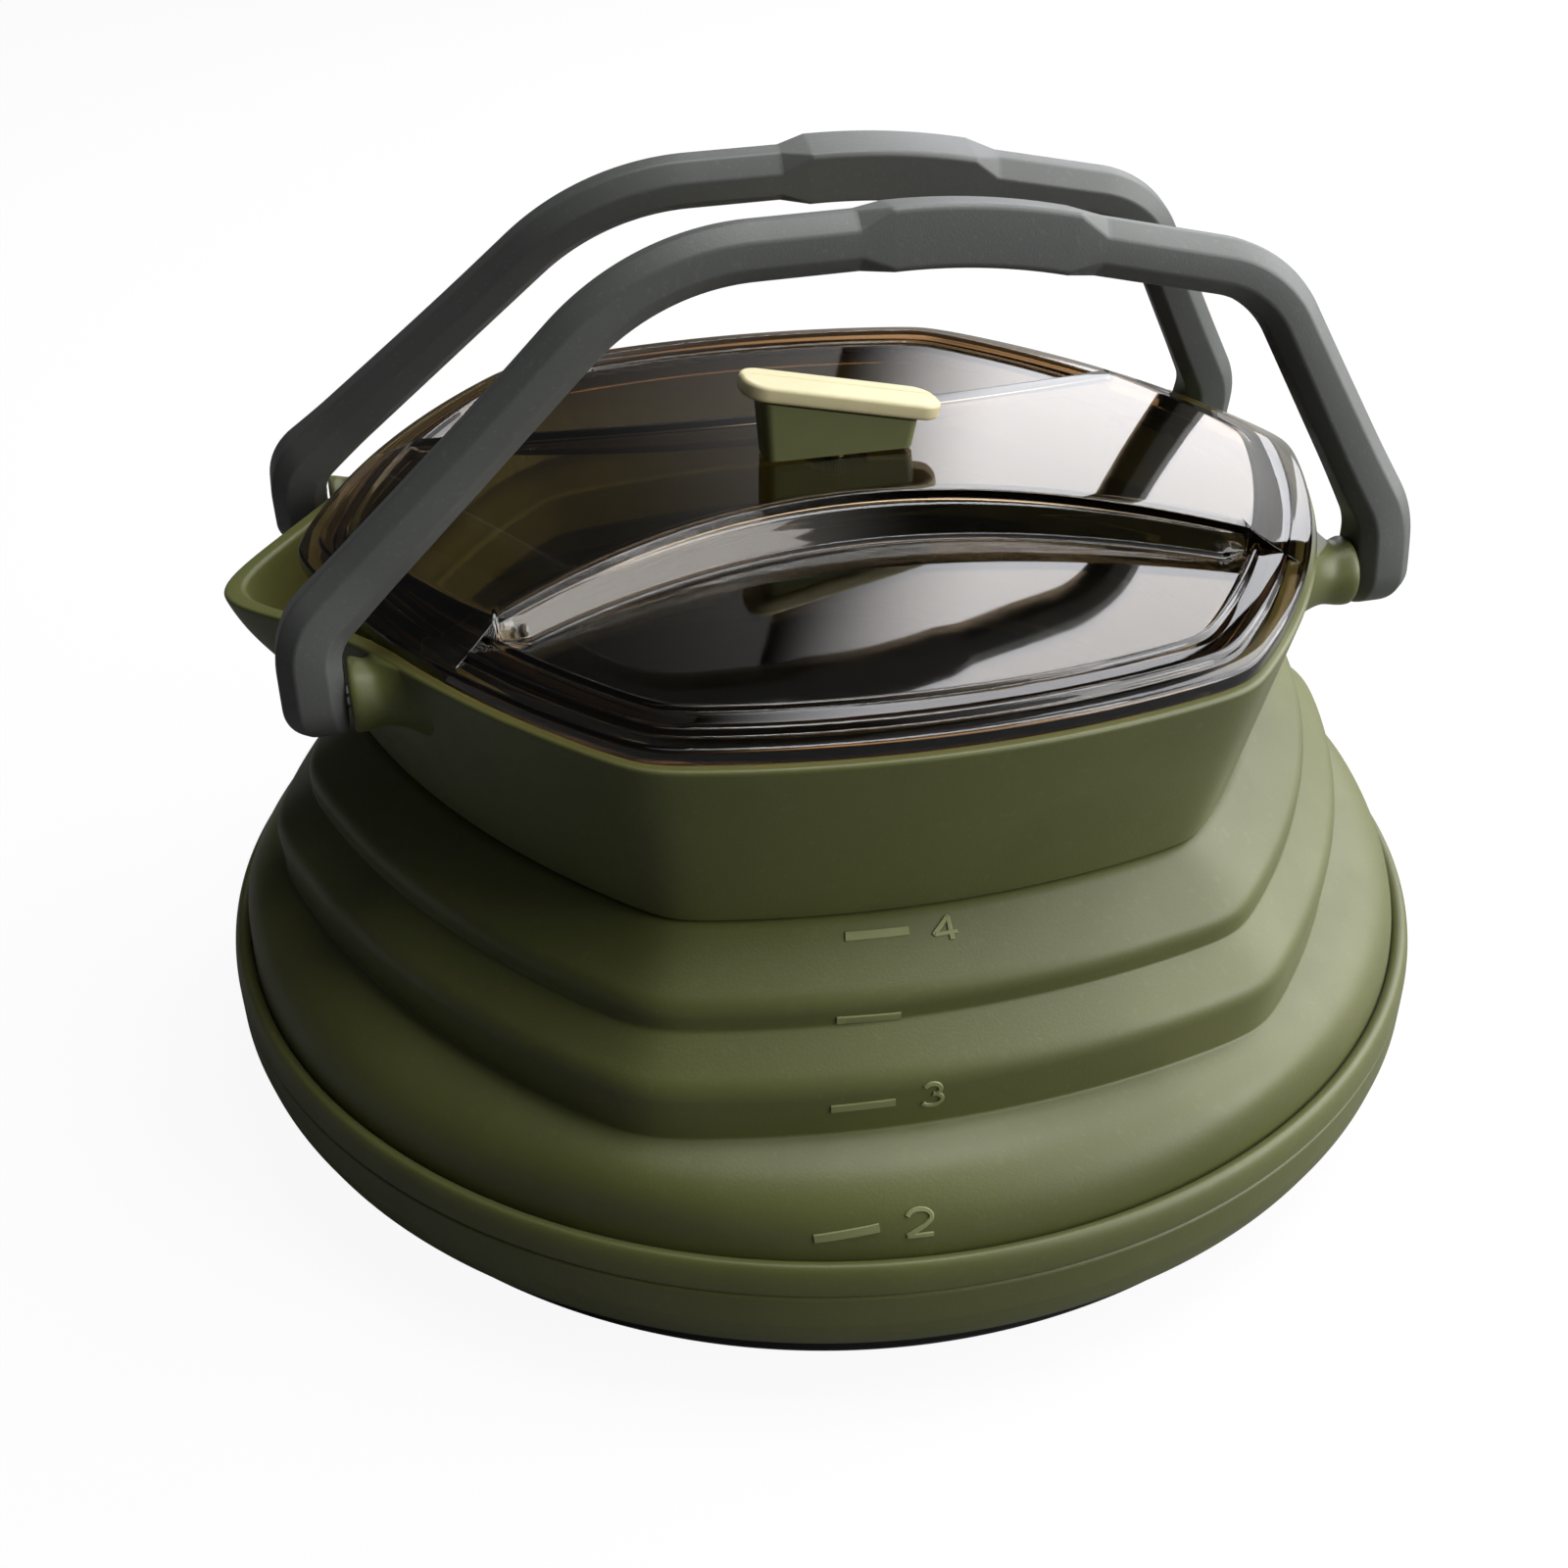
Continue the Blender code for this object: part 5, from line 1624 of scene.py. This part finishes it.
    def ring(self, skin: Skin, side: Side) -> None:
        """Add one side of the border's top, with the ridge that runs out over it to a point.

        The ridge's end stands on the border with a small rounded edge, which fades out towards
        the panel.

        Args:
            skin: The skin that takes it.
            side: Which side.
        """
        low = self.border_outline()
        apothems, heights = low[:, 0], low[:, 1]
        tips = self.tip_angles(apothems, side)
        far, along = self.sectors(tips)
        self.lay(skin, self.points_at(along, apothems[:, None], heights[:, None]), side)
        high = self.raised(apothems, far, heights)
        step = high[:, -1] - heights
        bevel = np.minimum(self.bevel, step * self.bevel_share)
        bevel *= np.clip((apothems - self.inner_apothem) / self.bevel_ramp, 0, 1)
        far = far * (1 - bevel / (apothems * tips))[:, None]
        self.lay(skin, self.points_at(far, apothems[:, None], high), side, True)
        turn = np.linspace(0, math.pi / 2, self.bevel_rows)[:, None]
        angles = tips - bevel / apothems * (1 - np.sin(turn))
        levels = high[:, -1] - bevel * (1 - np.cos(turn))
        angles = np.concatenate((angles, tips[None, :]))
        levels = np.concatenate((levels, heights[None, :]))
        self.lay(skin, self.points_at(angles, apothems[None, :], levels), side, True)

    def middle(self, skin: Skin, side: Side, face: LidFace, tip: float, shared_tip: float) -> None:
        """Add half of the panel and one crescent, of the top face or of the underside.

        The panel's columns run from the x that both halves share on the middle line to the x of
        the border's columns; across them y = v w(x). Each crescent's columns follow the section
        outline, shrunk where there is little room, and end at the border. The first and the last
        column go down in one edge, as the border's do.

        Args:
            skin: The skin that takes it.
            side: Which crescent.
            face: Which face.
            tip: Angle of the ridge's tip on the border's inner edge.
            shared_tip: Mean of the two sides' angles.
        """
        angles = self.columns(tip)
        edge = self.points_at(angles, face.apothem, 0.0)
        shared = self.points_at(self.columns(shared_tip), face.apothem, 0.0)[:, 0]
        outline = face.outline
        x, border = edge[:, 0], edge[:, 1]
        half = np.minimum(self.half_width(x, side) - face.inset, border)
        ends = self.end_columns
        half[:ends] = border[:ends]
        half[-ends:] = border[-ends:]
        room = border - half
        fit = np.clip(room / self.fit_room, 0, 1)
        half = half + outline[0, 0] * fit
        across = np.linspace(0, 1, self.panel_rows)[:, None]
        panel_x = shared * (1 - across) + x * across
        panel_z = self.crown_height(panel_x) - face.drop
        self.lay(skin, np.stack((panel_x, across * half, panel_z), axis=-1), side)
        top = self.crown_height(x) - face.drop
        inner = slice(ends - 1, len(angles) - ends + 1)
        x, border, half, top, fit = (row[inner] for row in (x, border, half, top, fit))
        depth = (top - self.floor + face.drop) / (self.form.crown - self.floor)
        run = (outline[:, :1] - outline[0, 0]) * fit
        rise = outline[:, 1:2] * depth
        rise[:-1, [0, -1]] = 0
        share = np.linspace(0, 1, self.floor_rows)[1:, None]
        run = np.concatenate((run, run[-1:] + (border - half - run[-1:]) * share))
        rise = np.concatenate((rise, rise[-1:] + 0 * share))
        self.lay(skin, np.stack((x + 0 * run, half + run, top - rise), axis=-1), side)

    def underside(self, skin: Skin, side: Side, tip: float) -> None:
        """Add one side of the border's seat and skirt, and the step up to the panel's underside.

        Args:
            skin: The skin that takes it.
            side: Which side.
            tip: Angle of the ridge's tip at its foot.
        """
        corners = np.array([(self.edge_apothem, self.seat), (self.skirt_outer, self.seat),
                            (self.skirt_outer, self.seat - self.skirt_depth),
                            (self.skirt_inner, self.seat - self.skirt_depth),
                            (self.skirt_inner, self.floor - self.sheet)])
        under = thin(soften(corners, self.softness * 1.5, self.outline_step), self.under_turn)
        for angles, raised in zip(self.sectors(np.array([tip])), (True, False)):
            points = self.points_at(angles, under[:, :1], under[:, 1:2])
            if raised:
                top = self.points_at(angles, self.skirt_inner, 0.0)
                top[..., 2] = self.crown_height(top[..., 0]) - self.sheet
                points = np.concatenate((points, top))
            self.lay(skin, points, side, raised)

    def build(self) -> bpy.types.Object:
        """Make the lid's shell.

        Returns:
            The lid.
        """
        skin = Skin()
        top, under = self.faces()
        edges = np.array([self.inner_apothem, self.ridge_foot_apothem])
        tips = {side: self.tip_angles(edges, side) for side in Side}
        shared = sum(tips.values()) / 2
        for side in Side:
            inner, outer = tips[side]
            self.ring(skin, side)
            self.middle(skin, side, top, inner, shared[0])
            self.underside(skin, side, outer)
            self.middle(skin, side, under, outer, shared[1])
        return skin.build("lid_shell", self.sharp_degrees, self.merge)

    def dressed(self, finishes: Finishes) -> list[bpy.types.Object]:
        """Build and dress the lid, which is one piece."""
        return [hand_over(self.build(), finishes.smoked, "lid", "lid_panel")]


@dataclass
class Knob:
    """The olive stem and the cream grip on the lid."""

    form: KettleForm = field(default_factory=KettleForm)
    offset: float = 0.0025
    stem_length: float = 0.0212
    stem_width: float = 0.0062
    tall: float = 0.0086
    short: float = 0.0040
    flare: float = 0.0011
    stem_corner: float = 0.0014
    grip_length: float = 0.0290
    grip_width: float = 0.0084
    grip_thickness: float = 0.0023
    grip_corner: float = 0.0034
    grip_edge: float = 0.0006
    grip_shift: float = 0.0006
    groove_width: float = 0.0005
    groove_depth: float = 0.0003
    middle_width: float = 0.0002
    least_corner: float = 0.0001
    stem_rows: int = 12
    edge_rows: int = 8
    flat_rows: int = 40
    stem_sharp_degrees: float = 30.0
    grip_sharp_degrees: float = 50.0

    def stem_top(self, x: Array | float) -> Array | float:
        """Height of the stem's sloping top, straight from its tall end to its short one."""
        share = 0.5 - (x - self.offset) / self.stem_length
        return self.form.crown + self.form.gap + self.short + (self.tall - self.short) * share

    @staticmethod
    def pill(length: Array, width: Array, corner: Array, steps: int = 14) -> Array:
        """Level outlines of a box with round upright corners, as rows by points by 2.

        Each corner is a quarter circle about a point set in by its radius from both sides.

        Args:
            length: Length of each row.
            width: Width of each row.
            corner: Corner radius of each row.
            steps: Points in each corner.

        Returns:
            The points.
        """
        turn = np.concatenate([np.linspace(0, math.pi / 2, steps) + quarter * math.pi / 2
                               for quarter in range(4)])
        way_x = np.repeat([1, -1, -1, 1], steps)
        way_y = np.repeat([1, 1, -1, -1], steps)
        x = way_x * (length / 2 - corner)[:, None] + corner[:, None] * np.cos(turn)
        y = way_y * (width / 2 - corner)[:, None] + corner[:, None] * np.sin(turn)
        return np.stack((x, y), axis=-1)

    def stem(self) -> bpy.types.Object:
        """Stem: rounded oblong rings from the crown up to the sloping top, wider as they rise.

        Returns:
            The stem.
        """
        rise = np.concatenate(([0.0, 0.02], np.linspace(0.05, 1.0, self.stem_rows)))
        grow = self.flare * rise
        plan = self.pill(self.stem_length + grow, self.stem_width + grow,
                         self.stem_corner + 0 * rise)
        x = self.offset + plan[..., 0]
        foot = self.form.crown + self.form.gap
        z = foot + (self.stem_top(x) - foot) * rise[:, None]
        return Skin().grid(np.stack((x, plan[..., 1], z), axis=-1), wrap_columns=True,
                           caps=True).build("knob_stem_block", self.stem_sharp_degrees)

    def grip(self) -> bpy.types.Object:
        """Grip: a slab with round ends and edges and a fine groove along its top.

        Rings of a rounded oblong go up the side, over the top edge and in to the middle, where the
        last ring is a line along the slab. The groove is a narrow dip in z at a fixed y, by a bell
        curve.

        Returns:
            The grip.
        """
        half = self.grip_thickness / 2
        turn = np.linspace(0, math.pi / 2, self.edge_rows)
        edge_in, edge_up = self.grip_edge * (1 - np.sin(turn)), self.grip_edge * (1 - np.cos(turn))
        bottom_inset, bottom_up = edge_in, -half + edge_up
        top_inset, top_up = edge_in[::-1], half - edge_up[::-1]
        middle_inset = self.grip_width / 2 - self.middle_width
        inner = np.linspace(self.grip_edge, middle_inset, self.flat_rows)[1:]
        inset = np.concatenate((inner[::-1], bottom_inset, top_inset, inner))
        up = np.concatenate((-half + 0 * inner, bottom_up, top_up, half + 0 * inner))
        corner = np.maximum(self.grip_corner - inset, self.least_corner)
        plan = self.pill(self.grip_length - 2 * inset, self.grip_width - 2 * inset, corner, 16)
        beside = (plan[..., 1] - self.grip_width / 6) / (self.groove_width / 2)
        dip = self.groove_depth * np.exp(-beside ** 2)
        z = up[:, None] - dip * (up[:, None] > half - self.grip_edge)
        slope = math.atan2(self.tall - self.short, self.stem_length)
        middle = self.offset + self.grip_shift
        lift = self.stem_top(middle) + (half + self.form.gap) / math.cos(slope)
        x = middle + plan[..., 0] * math.cos(slope) + z * math.sin(slope)
        up_z = lift - plan[..., 0] * math.sin(slope) + z * math.cos(slope)
        return Skin().grid(np.stack((x, plan[..., 1], up_z), axis=-1), wrap_columns=True,
                           caps=True).build("knob_grip_slab", self.grip_sharp_degrees)

    def dressed(self, finishes: Finishes) -> list[bpy.types.Object]:
        """Build and dress the stem and the grip."""
        return [hand_over(self.stem(), finishes.olive, "lid", "knob_stem"),
                hand_over(self.grip(), finishes.cream, "lid", "knob_grip")]


@dataclass(frozen=True)
class Softbox:
    """A soft light that faces the kettle.

    Its azimuth is degrees from +Y towards +X and its elevation degrees above the floor. A radiance
    of 1 is white. The fade is the share of a card's width over which it fades out at its left.
    """

    name: str
    azimuth: float
    elevation: float
    distance: float
    size: tuple[float, float]
    radiance: float
    colour: RGB = (1.0, 1.0, 1.0)
    fade: float = 0.0

    def way(self) -> Array:
        """Direction from the kettle to the light."""
        az, el = math.radians(self.azimuth), math.radians(self.elevation)
        return np.array([math.sin(az) * math.cos(el), math.cos(az) * math.cos(el), math.sin(el)])


@dataclass
class Studio:
    """Floor, backdrop, lamps and camera."""

    floor_reach: float = 4.0
    floor_drop: float = 0.0002
    floor_glow: float = 0.93
    floor_white: float = 0.86
    floor_bounce: float = 0.15
    floor_roughness: float = 0.8
    world_fill: float = 0.04
    dark_side: float = 0.04
    dark_span: tuple[float, float] = (0.05, 0.55)
    zenith_span: tuple[float, float] = (0.93, 0.99)
    aim: tuple[float, float, float] = (0.0, 0.0, 0.07)
    back_card: Softbox = Softbox("back_softbox", 44, 32, 1.0, (1.02, 0.62), 3.9,
                                 (0.95, 0.96, 1.0), 0.17)
    lamps: tuple[Softbox, ...] = (
        Softbox("right_softbox", 102, 30, 0.9, (1.2, 1.0), 3.5),
        Softbox("top_softbox", 85, 76, 0.9, (0.5, 0.5), 6.5),
        Softbox("front_softbox", 136, 18, 1.1, (0.5, 0.5), 4.3))
    camera_angles: tuple[float, float, float] = (-13.471, 32.719, -0.695)
    camera_place: tuple[float, float, float] = (-0.061805, -0.235008, 0.188875)
    camera_lens: float = 42.287
    camera_sensor: float = 36.0
    camera_clip: float = 0.01

    def floor(self) -> None:
        """Plain pale floor, near white for the camera, which keeps the kettle's shadow."""
        ends = (-self.floor_reach, self.floor_reach)
        corners = np.array([[(x, y, -self.floor_drop) for x in ends] for y in ends])
        material, board, shader, output = new_material("pale_floor")
        glow = board.add("Emission", {"Color": (1, 1, 1, 1), "Strength": 1.0}).outputs["Emission"]
        seen = board.add("LightPath").outputs["Is Camera Ray"]
        bounce, pale = ((value, value, value, 1) for value in (self.floor_bounce, self.floor_white))
        board.feed(shader, {"Base Color": board.mix(seen, bounce, pale),
                            "Roughness": self.floor_roughness})
        share = board.math("MULTIPLY", seen, self.floor_glow)
        board.feed(output, {"Surface": board.blend(share, shader.outputs["BSDF"], glow)})
        dress(Skin().grid(corners).build("studio_floor"), material)

    def world(self) -> None:
        """White for the camera, white that fades towards the left for gloss, and a plain fill."""
        world = bpy.data.worlds.new("studio")
        world.use_nodes = True
        bpy.context.scene.world = world
        board = Board(world.node_tree)
        path = board.add("LightPath").outputs
        way = board.add("SeparateXYZ", {0: board.add("TexCoord").outputs["Generated"]}).outputs
        side = board.ramp(way["X"], self.dark_span, (self.dark_side, 1.0))
        above = board.ramp(way["Z"], self.zenith_span)
        gloss = board.math("MAXIMUM", path["Is Glossy Ray"], path["Is Transmission Ray"])
        shown = board.math("MULTIPLY", gloss, board.math("MAXIMUM", side, above))
        rest = board.math("MULTIPLY", board.math("SUBTRACT", 1.0, gloss), self.world_fill)
        strength = board.math("MAXIMUM", path["Is Camera Ray"], board.math("ADD", shown, rest))
        board.feed(world.node_tree.nodes["Background"],
                   {"Color": (1, 1, 1, 1), "Strength": strength})

    def lamp(self, box: Softbox) -> None:
        """Put up one soft lamp, whose energy is radiance times pi times its area.

        Args:
            box: The lamp's place, size and brightness.
        """
        data = bpy.data.lights.new(box.name, "AREA")
        data.shape = "RECTANGLE"
        data.size, data.size_y = box.size
        data.energy = box.radiance * math.pi * box.size[0] * box.size[1]
        data.color = box.colour
        item = bpy.data.objects.new(box.name, data)
        bpy.context.scene.collection.objects.link(item)
        way = Vector(box.way())
        item.location = Vector(self.aim) + way * box.distance
        item.rotation_euler = way.to_track_quat("Z", "Y").to_euler()
        item.visible_camera = False

    def card(self, box: Softbox) -> None:
        """Put up a glowing card that faces the kettle and fades out towards its left edge.

        Args:
            box: The card's place, size, brightness and fade.
        """
        way = box.way()
        az = math.radians(box.azimuth)
        aside = np.array([math.cos(az), -math.sin(az), 0.0])
        upward = np.cross(aside, way)
        middle = np.array(self.aim) + way * box.distance
        wide, high = box.size
        corners = [[middle + aside * wide * x + upward * high * y for x in (-0.5, 0.5)]
                   for y in (-0.5, 0.5)]
        material, board, _, output = new_material(box.name)
        along = board.add("VectorMath", {0: board.add("TexCoord").outputs["Object"],
                                         1: tuple(aside)}, operation="DOT_PRODUCT")
        left = float(middle @ aside) - wide / 2
        strength = board.ramp(along.outputs["Value"], (left, left + box.fade * wide),
                              (0.0, box.radiance))
        glow = board.add("Emission", {"Color": (*box.colour, 1), "Strength": strength})
        board.feed(output, {"Surface": glow.outputs["Emission"]})
        item = dress(Skin().grid(np.array(corners)).build(box.name), material)
        item.visible_camera = False

    def camera(self) -> None:
        """Camera at the photograph's viewing angle: azimuth, elevation and roll in degrees."""
        az, el, roll = (math.radians(value) for value in self.camera_angles)
        back = Vector((math.sin(az) * math.cos(el), -math.cos(az) * math.cos(el), math.sin(el)))
        right = Vector((math.cos(az), math.sin(az), 0))
        upward = back.cross(right)
        c, s = math.cos(roll), math.sin(roll)
        frame = Matrix((c * right + s * upward, c * upward - s * right, back)).transposed().to_4x4()
        frame.translation = Vector(self.camera_place)
        data = bpy.data.cameras.new("camera")
        data.lens = self.camera_lens
        data.sensor_width = self.camera_sensor
        data.clip_start = self.camera_clip
        item = bpy.data.objects.new("camera", data)
        bpy.context.scene.collection.objects.link(item)
        item.matrix_world = frame
        bpy.context.scene.camera = item

    def build(self) -> None:
        """Set up the whole studio."""
        bpy.context.scene.view_settings.view_transform = "Standard"
        self.floor()
        self.world()
        self.card(self.back_card)
        for box in self.lamps:
            self.lamp(box)
        self.camera()


def dress_kept(nodes: dict[str, bpy.types.Object], finishes: Finishes) -> list[bpy.types.Object]:
    """Give the CAD nodes that stay in sight their finishes.

    Args:
        nodes: All CAD nodes by name.
        finishes: The kettle's finishes.

    Returns:
        The kept nodes.
    """
    kept = {"rim_stiffener": finishes.olive, "lid_gasket": finishes.rubber,
            "knob_washer": finishes.steel, "knob_screw": finishes.steel}
    for start, material in (("pivot_pin", finishes.steel), ("pivot_bushing", finishes.nylon)):
        kept.update({name: material for name in nodes if name.startswith(start)})
    return [dress(nodes[name], material) for name, material in kept.items()]


def main() -> None:
    """Build the kettle's looks in order and report each piece."""
    logging.basicConfig(level=logging.INFO, format="%(message)s")
    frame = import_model()
    finishes = Finishes()
    form = KettleForm()
    base = FoldingBase(form)
    builders = (base, MeasuringMarks(base), PouringCollar(form),
                *(BailHandle(side, form) for side in Side), SmokedLid(form), Knob(form))
    for builder in builders:
        for piece in builder.dressed(finishes):
            LOG.info("%s: %s", type(builder).__name__, piece.name)
    for node in dress_kept(frame["nodes"], finishes):
        LOG.info("kept: %s", node.name)
    Studio().build()


if __name__ == "__main__":
    main()
